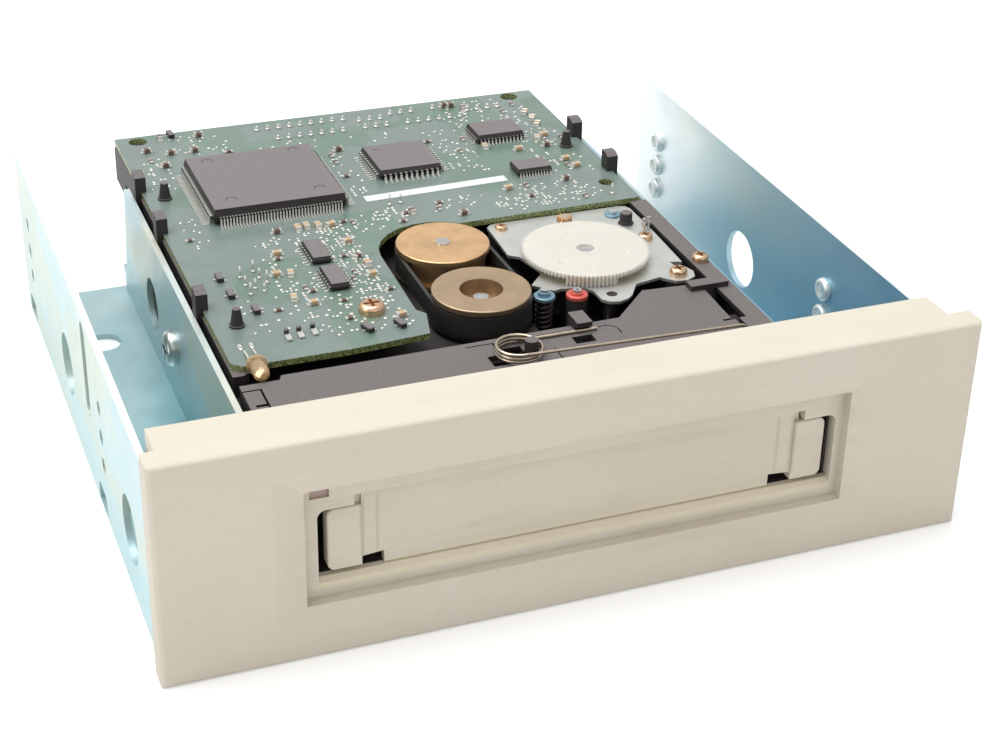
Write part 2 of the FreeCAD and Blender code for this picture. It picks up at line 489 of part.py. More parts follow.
def make_slide():
    end = SLIDE_D0 + SLIDE_L
    body = box(SLIDE_X0, SLIDE_X1, SLIDE_D0, end, SLIDE_Z0, SLIDE_Z1)
    cheek = box(SLIDE_X0 - 0.7, SLIDE_X0 + 0.3, SLIDE_D0, SLIDE_D0 + 6, SLIDE_Z0 + 2.2, SLIDE_Z1)
    nose = box(37.6, SLIDE_X0 + 0.3, end - 2.4, end, SLIDE_Z0 + 2.6, SLIDE_Z1 - 0.6)
    fork = box(FORK_X - COIL_WIRE - 0.2, FORK_X + COIL_WIRE + 0.2, FORK_D - 0.6, FORK_D + 0.6,
               SLIDE_Z1 - 4, SLIDE_Z1 + 1)
    body = union([body, cheek, nose])
    body = soften(body, 0.8, lambda b: b.ZLength > 4 and near(b.XMax, 37.6) and near(b.YMax, b.YMin))
    return less(body, [fork])


def make_wire_spring():
    """One bent wire: short arm under the hook, coil round the post, long arm, down-turned end."""
    turns, pitch, bend = 2.5, 2 * COIL_WIRE + 0.05, 1.3
    z0 = COVER_TOP + COIL_WIRE + 0.05
    zl, top = z0 + 0.3, z0 + pitch * turns
    rear, front = y(COIL_D + COIL_R), y(COIL_D - COIL_R)
    helix = Part.makeHelix(pitch, pitch * turns, COIL_R)
    helix.rotate(Vector(0, 0, 0), Vector(0, 0, 1), 90)
    helix.translate(Vector(COIL_X, y(COIL_D), z0))
    start, knee = Vector(HOOK_X1 + 1.0, rear, z0), Vector(FORK_X - bend, y(FORK_D), zl)
    turn = Vector(knee.x + bend * math.sin(math.pi / 4), knee.y, zl - bend + bend * math.cos(math.pi / 4))
    drop = Vector(FORK_X, knee.y, zl - bend)
    path = [Part.makeLine(start, Vector(COIL_X, rear, z0))] + list(helix.Edges)
    path += [Part.makeLine(Vector(COIL_X, front, top), knee), Part.Arc(knee, turn, drop).toShape(),
             Part.makeLine(drop, Vector(FORK_X, knee.y, SLIDE_Z1 - 2.5))]
    ring = Part.Wire([Part.makeCircle(COIL_WIRE, start, Vector(1, 0, 0))])
    return Part.Wire(path).makePipeShell([ring], True, False, 0)


# ---------------------------------------------------------------- board and its parts
CLIPS = [(-1, 127.5), (-1, 106.3), (-1, 71.6), (1, 127.5), (1, 107.5)]
BOARD_POSTS = [(-45.4, 121.6), (-44.8, 62.4), (45.1, 121.8)]
BOARD_SCREW = (-19.6, 60.1)
BOARD_NOSE = 47.2
BOARD_HOLES = [(-44.7, BOARD_END - 3.0, 2.0), (43.4, BOARD_END - 2.6, 2.0), (45.8, 100.9, 1.6)]


def make_board():
    front, notch_x, reach = BOARD_FRONT, -11.6, 12.3
    arc = []
    for i in range(9):
        a = math.radians(52 + 126 * i / 8.0)
        arc.append((1.4 + reach * math.cos(a), 81.5 + reach * math.sin(a)))
    outline = [(BOARD_X0, BOARD_END), (BOARD_X1, BOARD_END), (BOARD_X1, front + 0.3), (18.0, front)]
    outline += arc + [(notch_x, 58.0), (-10.2, 56.0), (-12.0, BOARD_NOSE + 1.2), (-27.0, BOARD_NOSE),
                (-47.6, BOARD_NOSE), (BOARD_X0, BOARD_NOSE + 1.8)]
    body = prism(outline, CHASSIS_TOP, BOARD_TOP)
    cuts = [rod_z(px, pd, CHASSIS_TOP - 1, BOARD_TOP + 1, r) for px, pd, r in BOARD_HOLES]
    cuts += [rod_z(px, pd, CHASSIS_TOP - 1, BOARD_TOP + 1, 1.1) for px, pd in BOARD_POSTS]
    cuts.append(rod_z(BOARD_SCREW[0], BOARD_SCREW[1], CHASSIS_TOP - 1, BOARD_TOP + 1, 1.5))
    return less(body, cuts)


def chip(x, d, w, l, stand, h):
    """Moulded chip body with the usual draft above and below its leads."""
    z0, z1 = BOARD_TOP + stand, BOARD_TOP + stand + h
    zm = (z0 + z1) / 2
    k = min(0.35, h * 0.18)

    def ring(z, g):
        c = [(-1, -1), (1, -1), (1, 1), (-1, 1), (-1, -1)]
        return Part.makePolygon([Vector(x + sx * (w / 2 - g), y(d) + sy * (l / 2 - g), z) for sx, sy in c])
    return union([Part.makeLoft([ring(z0, k), ring(zm, 0)], True, True),
                  Part.makeLoft([ring(zm, 0), ring(z1, k)], True, True)])


def small_chips():
    """The two narrow driver chips, the shrink package and the wide memory package."""
    return [chip(-22.9, 86.0, 3.9, 8.65, 0.12, 1.5), chip(-22.7, 74.1, 3.9, 8.65, 0.12, 1.5),
            chip(32.6, 111.6, 8.0, 5.3, 0.1, 1.6), chip(32.0, 132.3, 11.0, 8.0, 0.12, 2.0)]


def make_header():
    z1 = CHASSIS_TOP
    x0, x1 = -18.6, 26.0
    d0 = OVERALL_D - 9.5
    shroud = box(x0, x1, d0, OVERALL_D, z1 - 8.9, z1)
    shroud = less(shroud, [box(x0 + 1.1, x1 - 1.1, d0 + 1.5, OVERALL_D + 1, z1 - 7.8, z1 - 1.1),
                           box((x0 + x1) / 2 - 2.2, (x0 + x1) / 2 + 2.2, d0 + 2.5, OVERALL_D + 1, z1 - 10, z1 - 7)])
    pins = []
    for i in range(17):
        for row in (0, 1):
            px = (x0 + x1) / 2 + (i - 8) * 2.54
            pz = z1 - 3.2 - row * 2.54
            pins.append(box(px - 0.32, px + 0.32, d0 - 1.9, OVERALL_D - 1.4, pz - 0.32, pz + 0.32))
    cuts = [p.copy() for p in pins]
    return less(shroud, cuts), pins


def make_power():
    z1 = CHASSIS_TOP
    x0, x1 = 29.0, 40.6
    d0 = OVERALL_D - 11.5
    body = box(x0, x1, d0, OVERALL_D - 0.4, z1 - 7.6, z1)
    body = less(body, [box(x0 + 0.9, x1 - 0.9, d0 + 2.5, OVERALL_D + 1, z1 - 6.7, z1 - 0.9)])
    pins = []
    for i in range(4):
        px = (x0 + x1) / 2 + (i - 1.5) * 2.5
        pins.append(box(px - 0.32, px + 0.32, d0, OVERALL_D - 2.6, z1 - 4.1, z1 - 3.46))
    return less(body, [p.copy() for p in pins]), pins


# ---------------------------------------------------------------- drive train
BUSH_R = 3.0
STUD_R, STUD_Z, NUT_Z = 0.85, 20.6, 28.4


def make_belt():
    """Flat belt round the rear of the motor pulley and the front of the capstan pulley."""
    r0, r1 = CROWN_R + BELT_GAP, PULLEY_R + BELT_GAP
    ax, ad, bx, bd = CAPSTAN_X, CAPSTAN_D, MOTOR_X, MOTOR_D

    def loop(extra):
        ra, rb = r1 + extra, r0 + extra
        gap = math.hypot(bx - ax, bd - ad)
        head = math.atan2(bd - ad, bx - ax)
        lean = math.acos((ra - rb) / gap)
        pts = []
        steps = 40
        for i in range(steps + 1):
            a = head + lean + (2 * math.pi - 2 * lean) * i / steps
            pts.append((ax + ra * math.cos(a), ad + ra * math.sin(a)))
        for i in range(steps + 1):
            a = head - lean + 2 * lean * i / steps
            pts.append((bx + rb * math.cos(a), bd + rb * math.sin(a)))
        return pts
    return prism(loop(BELT_T), BELT_Z0, BELT_Z1).cut(prism(loop(0), BELT_Z0 - 1, BELT_Z1 + 1))


def make_motor_pulley():
    disc = rod_z(MOTOR_X, MOTOR_D, RIM_Z0, BRASS_TOP, DISC_R)
    disc = soften(disc, 0.25, lambda b: near(b.ZMin, BRASS_TOP))
    crown = rod_z(MOTOR_X, MOTOR_D, BELT_Z0 - 0.2, RIM_Z0 + 0.1, CROWN_R)
    foot = rod_z(MOTOR_X, MOTOR_D, BELT_Z0 - 1.0, BELT_Z0 - 0.2, DISC_R)
    return less(union([disc, crown, foot]), [rod_z(MOTOR_X, MOTOR_D, 20, 40, SHAFT_R)])


def make_capstan_ring():
    ring = rod_z(CAPSTAN_X, CAPSTAN_D, RIM_Z0, BRASS_TOP, RING_R)
    ring = soften(ring, 0.25, lambda b: near(b.ZMin, BRASS_TOP))
    hub = rod_z(CAPSTAN_X, CAPSTAN_D, BELT_Z0, RIM_Z0 + 0.1, 5.6)
    bore = rod_z(CAPSTAN_X, CAPSTAN_D, BRASS_TOP - 2.9, BRASS_TOP + 1, 4.2)
    return less(union([ring, hub]), [bore, rod_z(CAPSTAN_X, CAPSTAN_D, 20, 40, SHAFT_R)])


def make_capstan_pulley():
    drum = rod_z(CAPSTAN_X, CAPSTAN_D, BELT_Z0 - 0.2, RIM_Z0, PULLEY_R)
    foot = rod_z(CAPSTAN_X, CAPSTAN_D, BELT_Z0 - 1.0, BELT_Z0 - 0.2, RING_R + 0.3)
    return less(union([drum, foot]), [rod_z(CAPSTAN_X, CAPSTAN_D, BELT_Z0, 40, 5.6),
                                      rod_z(CAPSTAN_X, CAPSTAN_D, 20, 40, SHAFT_R)])


# ---------------------------------------------------------------- head mechanism
def gear_blank(cx, cd, teeth, root_r, tip_r, z0, z1, phase, tooth_share):
    """Spur gear with straight-flanked teeth; tooth_share is the tooth width at the pitch line."""
    pts = []
    pitch = 2 * math.pi / teeth
    tip, root = tooth_share * 0.52, tooth_share * 1.42
    for i in range(teeth):
        a = phase + i * pitch
        for r, off in ((root_r, -root / 2), (tip_r, -tip / 2), (tip_r, tip / 2), (root_r, root / 2)):
            b = a + off * pitch
            pts.append((cx + r * math.cos(b), cd + r * math.sin(b)))
    return prism(pts, z0, z1)


def make_gear():
    """Thin toothed disc, a toothed lobe below its front, a raised hub ring and four gate marks."""
    phase = PINION_ANGLE + math.pi / GEAR_TEETH
    blank = [GEAR_X, GEAR_D, GEAR_TEETH, GEAR_R - 1.1 * MODULE, GEAR_R + 0.85 * MODULE]
    disc = gear_blank(*blank, GEAR_Z0, GEAR_Z1, phase, 0.42)
    lower = gear_blank(*blank, PLATE_Z1 + FIT, GEAR_Z0 + 0.1, phase, 0.42)
    wedge = prism([(GEAR_X, GEAR_D)] + [(GEAR_X + 20 * math.cos(math.radians(a)), GEAR_D + 20 * math.sin(math.radians(a)))
                                        for a in (-130, -107, -83)], 0, 60)
    boss = rod_z(GEAR_X, GEAR_D, PLATE_Z1 + FIT, GEAR_Z0 + 0.1, 4.2)
    hub = rod_z(GEAR_X, GEAR_D, GEAR_Z0, GEAR_Z1 + 0.06, 2.9)
    body = union([disc, lower.common(wedge), boss, hub])
    cuts = [rod_z(GEAR_X, GEAR_D, 20, GEAR_Z1 + 1, LIFT_SCREW_R)]
    for mx, md in GATE_MARKS:
        cuts.append(cone_z(mx, md, GEAR_Z1 - 0.2, GEAR_Z1 + 0.01, 0.3, 0.8))
    return less(body, cuts)


def make_pinion():
    body = gear_blank(PINION_X, PINION_D, PINION_TEETH, PINION_R - 1.1 * MODULE, PINION_R + 0.8 * MODULE,
                      PLATE_Z1 + 0.3, GEAR_Z1 + 0.5, PINION_ANGLE + math.pi, 0.40)
    return less(body, [rod_z(PINION_X, PINION_D, 20, 40, 0.75)])


PLATE_OUTLINE = [(14.4, 89.6), (15.4, 90.6), (16.6, 90.9), (44.4, 90.9), (45.7, 90.4), (46.3, 89.0),
                 (46.4, 80.0), (45.9, 62.6), (43.5, 63.3), (43.8, 61.6), (45.6, 60.3), (46.3, 58.2),
                 (45.6, 56.0), (43.6, 54.9), (41.2, 55.2), (39.6, 56.8), (38.9, 57.8), (33.2, 56.6),
                 (30.6, 52.6), (29.2, 51.4), (27.2, 50.8), (25.4, 51.3), (24.2, 52.7), (24.1, 56.4),
                 (22.9, 58.2), (18.4, 59.3), (16.9, 58.9), (13.6, 62.5), (17.6, 67.1), (15.9, 74.7),
                 (13.9, 76.3)]


def make_plate():
    body = prism(PLATE_OUTLINE, PLATE_Z0, PLATE_Z1)
    cuts = [rod_z(GEAR_X, GEAR_D, PLATE_Z0 - 1, PLATE_Z1 + 1, LIFT_SCREW_R + FIT),
            rod_z(PINION_X, PINION_D, PLATE_Z0 - 1, PLATE_Z1 + 1, 2.0),
            rod_z(GUIDE_X, GUIDE_D, PLATE_Z0 - 1, PLATE_Z1 + 1, GUIDE_R - 0.4)]
    for px, pd in SCREW_POSTS:
        cuts.append(rod_z(px, pd, PLATE_Z0 - 1, PLATE_Z1 + 1, 1.3))
    return less(body, cuts)


def make_carriage():
    """Arm that carries the head: nut round the lift screw, bore on the guide post, head seat in front."""
    z0, z1 = 14.6, 19.0
    nut = rod_z(GEAR_X, GEAR_D, z0, z1, 4.4)
    sleeve = rod_z(GUIDE_X, GUIDE_D, z0, z1 + 1.6, 3.2)
    arm = box(GUIDE_X - 2.4, GUIDE_X + 2.4, GUIDE_D, GEAR_D, z0 + 0.4, z1 - 0.4)
    seat = box(18.3, GUIDE_X - 1, HEAD_D1 + FIT, HEAD_D1 + 4.6, z0, z1)
    tower = rod_z(NUT_STUDS[1][0], NUT_STUDS[1][1], z0, NUT_Z, 2.0)
    body = union([nut, sleeve, arm, seat, tower])
    return less(body, [rod_z(GEAR_X, GEAR_D, 0, 40, LIFT_SCREW_R + FIT), rod_z(GUIDE_X, GUIDE_D, 0, 40, GUIDE_R + FIT),
                       rod_z(NUT_STUDS[1][0], NUT_STUDS[1][1], 18.0, 40, STUD_R)])


def make_head():
    body = box(18.3, 23.7, HEAD_D0, HEAD_D1, 14.9, 21.0)
    return soften(body, 1.4, lambda b: b.ZLength > 4 and near(b.YMin, y(HEAD_D0)) and near(b.YMax, y(HEAD_D0)))


def nut(x, d, z, r, h, bore, collar_r=0.0, collar_h=0.0):
    """Thin round nut with an optional narrower collar on top."""
    ring = soften(rod_z(x, d, z, z + h, r), min(0.3, h * 0.4), lambda b: near(b.ZMin, z + h))
    if collar_h:
        ring = union([ring, rod_z(x, d, z + h - 0.1, z + h + collar_h, collar_r)])
    return less(ring, [rod_z(x, d, z - 1, z + h + 2, bore)])


# ---------------------------------------------------------------- export everything
def export_all():
    save("bay_bezel", make_bezel())
    save("left_bracket", make_bracket(-1))
    save("right_bracket", make_bracket(1))
    save("side_screws", make_side_screws())
    save("bezel_screws", make_bezel_screws())

    save("chassis", make_chassis())
    save("front_cover", make_cover())
    save("drive_faceplate", make_face())
    save("cartridge_door", make_door())
    save("door_pin", shifted(rod_x(-PIN_HALF, PIN_HALF, HINGE_D, HINGE_Z, HINGE_R)))
    save("door_spring", make_door_spring())
    save("cartridge_slide", make_slide())
    save("slide_spring", make_wire_spring())

    pipe = union([box(LIGHT_X0, LIGHT_X1, FACE_D + 0.4, CHASSIS_D0, LIGHT_Z0, LIGHT_Z1),
                  box(LIGHT_X0, PIPE_X1, CHASSIS_D0 - 0.5, RAISED_END, LIGHT_Z0, LIGHT_Z1)])
    save("light_pipe", pipe)
    led_z, led_back = BOARD_TOP + 0.4, BOARD_NOSE - 0.3
    lamp = union([rod_y(LED_X, LED_TIP_D + 1.5, led_back, led_z, 1.5), rod_y(LED_X, led_back - 1.0, led_back, led_z, 1.9),
                  Part.makeSphere(1.5, Vector(LED_X, y(LED_TIP_D + 1.5), led_z))])
    legs = [wire_run([(LED_X + s, led_back + 0.02, led_z + 0.1), (LED_X + s, led_back + 2.4, led_z + 0.1),
                      (LED_X + s, led_back + 5.2, BOARD_TOP + 0.25)], 0.25) for s in (-0.85, 0.85)]
    save("status_led", lamp)
    save("led_leads", legs)

    save("circuit_board", make_board())
    save("controller_chip", chip(-24.8, 119.3, 28.0, 28.0, 0.25, 3.2))
    save("processor_chip", chip(6.9, 123.5, 14.0, 14.0, 0.2, 2.0))
    save("small_chips", small_chips())
    header, header_pins = make_header()
    save("signal_header", header)
    save("header_pins", header_pins)
    power, power_pins = make_power()
    save("power_connector", power)
    save("power_pins", power_pins)
    rivets = []
    for px, pd in BOARD_POSTS:
        rivets.append(union([rod_z(px, pd, DECK_Z1 + 0.6, BOARD_TOP, 1.1), rod_z(px, pd, BOARD_TOP, BOARD_TOP + 0.4, 1.5),
                             cone_z(px, pd, BOARD_TOP + 0.4, BOARD_TOP + 3.6, 1.25, 0.75)]))
    save("board_posts", rivets)
    save("board_screw", pan_screw(BOARD_SCREW[0], BOARD_SCREW[1], BOARD_TOP, 2.5, 1.8, 0.95, 5.2))
    label = box(-16.0, 16.0, 107.5, 110.2, BOARD_TOP, BOARD_TOP + 0.12)
    label.rotate(Vector(0, y(108.8), 0), Vector(0, 0, 1), 2.0)
    label.translate(Vector(10.0, 0, 0))
    save("blank_label", label)

    can = less(soften(rod_z(MOTOR_X, MOTOR_D, DRIVE_Z0 + 2.0, DECK_Z0, MOTOR_R), 0.8,
                      lambda b: near(b.ZMin, DECK_Z0)), [rod_z(MOTOR_X, MOTOR_D, 13.0, 40, SHAFT_R + FIT)])
    save("drive_motor", can)
    save("motor_shaft", rod_z(MOTOR_X, MOTOR_D, 13.4, BRASS_TOP + 0.2, SHAFT_R))
    save("motor_pulley", make_motor_pulley())
    save("drive_belt", make_belt())
    save("capstan_ring", make_capstan_ring())
    save("capstan_pulley", make_capstan_pulley())
    save("capstan_shaft", rod_z(CAPSTAN_X, CAPSTAN_D, 9.2, BRASS_TOP - 1.6, SHAFT_R))
    bushes = [less(rod_z(CAPSTAN_X, CAPSTAN_D, z0, z1, BUSH_R), [rod_z(CAPSTAN_X, CAPSTAN_D, 0, 40, SHAFT_R + FIT)])
              for z0, z1 in ((8.3, 11.0), (DECK_Z0 - 0.4, DECK_Z1 + 0.3))]
    save("capstan_bushes", bushes)
    save("drive_roller", less(soften(rod_z(CAPSTAN_X, CAPSTAN_D, ROLLER_Z0, ROLLER_Z1, ROLLER_R), 0.5,
                                     lambda b: b.ZLength < 0.01 and b.XLength > 15),
                              [rod_z(CAPSTAN_X, CAPSTAN_D, 0, 40, SHAFT_R)]))

    save("head_plate", make_plate())
    screws = [pan_screw(px, pd, PLATE_Z1, r, h, 0.95, 4.6)
              for (px, pd), r, h in zip(SCREW_POSTS, (1.3, 1.5, 1.75), (0.8, 1.1, 1.4))]
    screws.append(pan_screw(RAIL_SCREW[0], RAIL_SCREW[1], COVER_TOP, 1.68, 1.4, 0.95, 4.6))
    save("deck_screws", screws)
    save("head_gear", make_gear())
    save("lift_screw", rod_z(GEAR_X, GEAR_D, DRIVE_Z0 + 2.3, GEAR_Z1 - 0.3, LIFT_SCREW_R))
    stepper = soften(rod_z(PINION_X, PINION_D, 13.0, PLATE_Z0, STEPPER_R), 0.8, lambda b: near(b.ZMax, 13.0))
    save("stepper_motor", less(stepper, [rod_z(PINION_X, PINION_D, 15.0, 40, 0.75 + FIT)]))
    save("stepper_shaft", rod_z(PINION_X, PINION_D, 15.2, GEAR_Z1 + 0.55, 0.75))
    save("stepper_pinion", make_pinion())
    post = union([rod_z(GUIDE_X, GUIDE_D, DRIVE_Z0 + 0.9, PLATE_Z0, GUIDE_R),
                  rod_z(GUIDE_X, GUIDE_D, PLATE_Z0, PLATE_Z1 - 0.15, GUIDE_R - 0.4)])
    save("guide_post", post)
    save("head_carriage", make_carriage())
    save("tape_head", make_head())

    (bx, bd), (rx, rd) = NUT_STUDS
    cx, cd = 41.5, 87.2
    save("blue_studs", [rod_z(bx, bd, 14.0, NUT_Z + 1.9, STUD_R), rod_z(cx, cd, PLATE_Z1, PLATE_Z1 + 1.0, STUD_R)])
    save("red_stud", less(rod_z(rx, rd, 18.0, NUT_Z + 1.6, STUD_R), [rod_z(rx, rd, NUT_Z + 1.0, NUT_Z + 3, 0.35)]))
    save("blue_nuts", [nut(bx, bd, NUT_Z, 2.15, 0.7, STUD_R, 1.25, 0.7), nut(cx, cd, PLATE_Z1, 1.75, 0.45, STUD_R)])
    save("red_nut", nut(rx, rd, NUT_Z, 2.15, 0.8, STUD_R, 1.2, 0.3))
    save("adjuster_spring", coil(bx, bd, STUD_Z + 0.36, 1.5, 0.3, 1.06, (NUT_Z - STUD_Z - 0.72) / 1.06))
    sx, sd = STOP_POST
    stop = union([cone_z(sx, sd, PLATE_Z1, PLATE_Z1 + 0.6, 1.65, 1.35),
                  soften(rod_z(sx, sd, PLATE_Z1 + 0.5, PLATE_Z1 + 2.6, 1.3), 0.5,
                         lambda b: near(b.ZMin, PLATE_Z1 + 2.6))])
    save("stop_post", stop)
    save("sensor_pins", [union([rod_z(px, pd, PLATE_Z1, PLATE_Z1 + 2.8, 0.42), rod_z(px, pd, PLATE_Z1 + 1.3,
                         PLATE_Z1 + 2.0, 0.6)]) for px, pd in SENSOR_PINS])
    return True


export_all()
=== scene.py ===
"""Looks for a cartridge tape drive in its bay adaptor: finishes, board detail, stage and camera."""

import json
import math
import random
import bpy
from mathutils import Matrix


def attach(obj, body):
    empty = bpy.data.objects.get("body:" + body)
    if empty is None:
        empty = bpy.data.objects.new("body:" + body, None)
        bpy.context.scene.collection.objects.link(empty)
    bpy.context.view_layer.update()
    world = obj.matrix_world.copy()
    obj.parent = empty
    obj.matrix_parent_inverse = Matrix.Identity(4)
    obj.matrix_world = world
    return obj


bl_info = {
    "name": "Bay tape drive",
    "version": (1, 0, 0),
    "blender": (4, 5, 0),
    "location": "View3D > Sidebar > Tape Drive",
    "description": "Dresses the packed tape drive model and sets its stage",
    "category": "Object",
}

import bpy
import bmesh
from mathutils import Matrix, Vector

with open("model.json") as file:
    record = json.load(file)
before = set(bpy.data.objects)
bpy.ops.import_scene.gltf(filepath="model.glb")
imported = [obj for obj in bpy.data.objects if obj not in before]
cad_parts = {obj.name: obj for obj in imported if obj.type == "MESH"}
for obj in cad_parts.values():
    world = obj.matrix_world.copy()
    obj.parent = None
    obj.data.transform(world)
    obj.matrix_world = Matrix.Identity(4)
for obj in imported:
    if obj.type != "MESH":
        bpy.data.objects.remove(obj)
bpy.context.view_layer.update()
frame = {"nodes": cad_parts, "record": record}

FRONT_Y = -78.5
BOARD_TOP = 29.9
MOTOR, CAPSTAN = (2.0, 81.8), (2.3, 60.2)   # x and d of the two brass discs
FRAME_BODY = "drive_frame"


# ------------------------------------------------------------------ small helpers
def at(x, d, z):
    """Millimetres right, behind the bezel face and up, as a point of the row frame."""
    return Vector((x / 1000, (FRONT_Y + d) / 1000, z / 1000))


def colour(text):
    """sRGB hex text as a linear colour."""
    out = []
    for i in (1, 3, 5):
        c = int(text[i:i + 2], 16) / 255
        out.append(c / 12.92 if c <= 0.04045 else ((c + 0.055) / 1.055) ** 2.4)
    return (*out, 1.0)


class Nodes:
    """A thin wrapper that adds and links shader nodes."""

    def __init__(self, name):
        self.mat = bpy.data.materials.new(name)
        self.mat.use_nodes = True
        self.tree = self.mat.node_tree
        self.shader = self.tree.nodes["Principled BSDF"]
        self.coords = self.tree.nodes.new("ShaderNodeTexCoord").outputs["Object"]

    def add(self, kind, inputs=(), **settings):
        node = self.tree.nodes.new("ShaderNode" + kind)
        for key, value in settings.items():
            setattr(node, key, value)
        for key, value in dict(inputs).items():
            self.set(node.inputs[key], value)
        return node

    def set(self, socket, value):
        if isinstance(value, bpy.types.NodeSocket):
            self.tree.links.new(value, socket)
        else:
            socket.default_value = value

    def base(self, **inputs):
        for key, value in inputs.items():
            self.set(self.shader.inputs[key.replace("_", " ")], value)
        return self

    def noise(self, scale, detail=4.0, rough=0.55, vector=None):
        return self.add("TexNoise", {"Vector": vector or self.coords, "Scale": scale, "Detail": detail,
                                     "Roughness": rough}).outputs["Fac"]

    def ramp(self, fac, stops):
        node = self.add("ValToRGB", {"Fac": fac})
        band = node.color_ramp
        while len(band.elements) < len(stops):
            band.elements.new(0.5)
        for element, (place, tint) in zip(band.elements, stops):
            element.position = place
            element.color = tint
        return node.outputs["Color"]

    def mix(self, fac, a, b, how="MIX"):
        node = self.add("Mix", data_type="RGBA", blend_type=how)
        self.set(node.inputs[0], fac)
        self.set(node.inputs[6], a)
        self.set(node.inputs[7], b)
        return node.outputs[2]

    def math(self, how, a, b=0.0, clamp=False):
        node = self.add("Math", operation=how, use_clamp=clamp)
        self.set(node.inputs[0], a)
        self.set(node.inputs[1], b)
        return node.outputs[0]

    def times(self, first, *rest):
        for factor in rest:
            first = self.math("MULTIPLY", first, factor)
        return first

    def distance(self, x, y):
        return self.math("SQRT", self.math("ADD", self.times(x, x), self.times(y, y)))

    def axes(self):
        parts = self.add("SeparateXYZ", {0: self.coords}).outputs
        return parts[0], parts[1], parts[2]

    def step(self, value, low, high):
        """0 below low, 1 above high, smooth between."""
        span = {"Value": value, "From Min": low, "From Max": high}
        return self.add("MapRange", span, interpolation_type="SMOOTHSTEP").outputs[0]

    def window(self, value, low, high, soft):
        """1 between low and high, fading over soft outside."""
        return self.times(self.step(value, low - soft, low), self.step(value, high + soft, high))

    def upward(self):
        """1 on faces that look straight up or down, 0 on upright ones."""
        normal = self.add("NewGeometry").outputs["Normal"]
        return self.step(self.math("ABSOLUTE", self.add("SeparateXYZ", {0: normal}).outputs[2]), 0.45, 0.8)

    def bump(self, height, strength, distance=0.0002):
        node = self.add("Bump", {"Height": height, "Strength": strength, "Distance": distance})
        self.set(self.shader.inputs["Normal"], node.outputs[0])
        return self


def grey(value):
    return (value, value, value, 1.0)


def darker(text, share):
    """The colour of a hex text with its light cut to a share."""
    return tuple(c * share for c in colour(text)[:3]) + (1,)


def finish_piece(obj, material, body=FRAME_BODY):
    obj.data.materials.clear()
    obj.data.materials.append(material)
    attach(obj, body)
    return obj


def new_object(name, data):
    obj = bpy.data.objects.new(name, data)
    bpy.context.scene.collection.objects.link(obj)
    return obj


def mesh_from(name, shapes, smooth=False):
    """shapes: callables that draw into one bmesh."""
    bm = bmesh.new()
    for draw in shapes:
        draw(bm)
    bmesh.ops.recalc_face_normals(bm, faces=bm.faces)
    mesh = bpy.data.meshes.new(name)
    bm.to_mesh(mesh)
    bm.free()
    for face in mesh.polygons:
        face.use_smooth = smooth
    return mesh


def block(x0, x1, y0, y1, z0, z1, bevel=0.0):
    """A box in millimetres about the template's own origin."""
    def draw(bm):
        size = Matrix.Diagonal(((x1 - x0) / 1000, (y1 - y0) / 1000, (z1 - z0) / 1000, 1))
        place = Matrix.Translation(Vector((x0 + x1, y0 + y1, z0 + z1)) / 2000)
        made = bmesh.ops.create_cube(bm, size=1.0, matrix=place @ size)
        if bevel:
            edges = {e for v in made["verts"] for e in v.link_edges}
            bmesh.ops.bevel(bm, geom=list(edges), offset=bevel / 1000, segments=1, affect="EDGES")
    return draw


def post(x, y, z0, z1, r0, r1, sides=12):
    def draw(bm):
        place = Matrix.Translation(Vector((x, y, (z0 + z1) / 2)) / 1000)
        bmesh.ops.create_cone(bm, cap_ends=True, segments=sides, radius1=r0 / 1000, radius2=r1 / 1000,
                              depth=(z1 - z0) / 1000, matrix=place)
    return draw


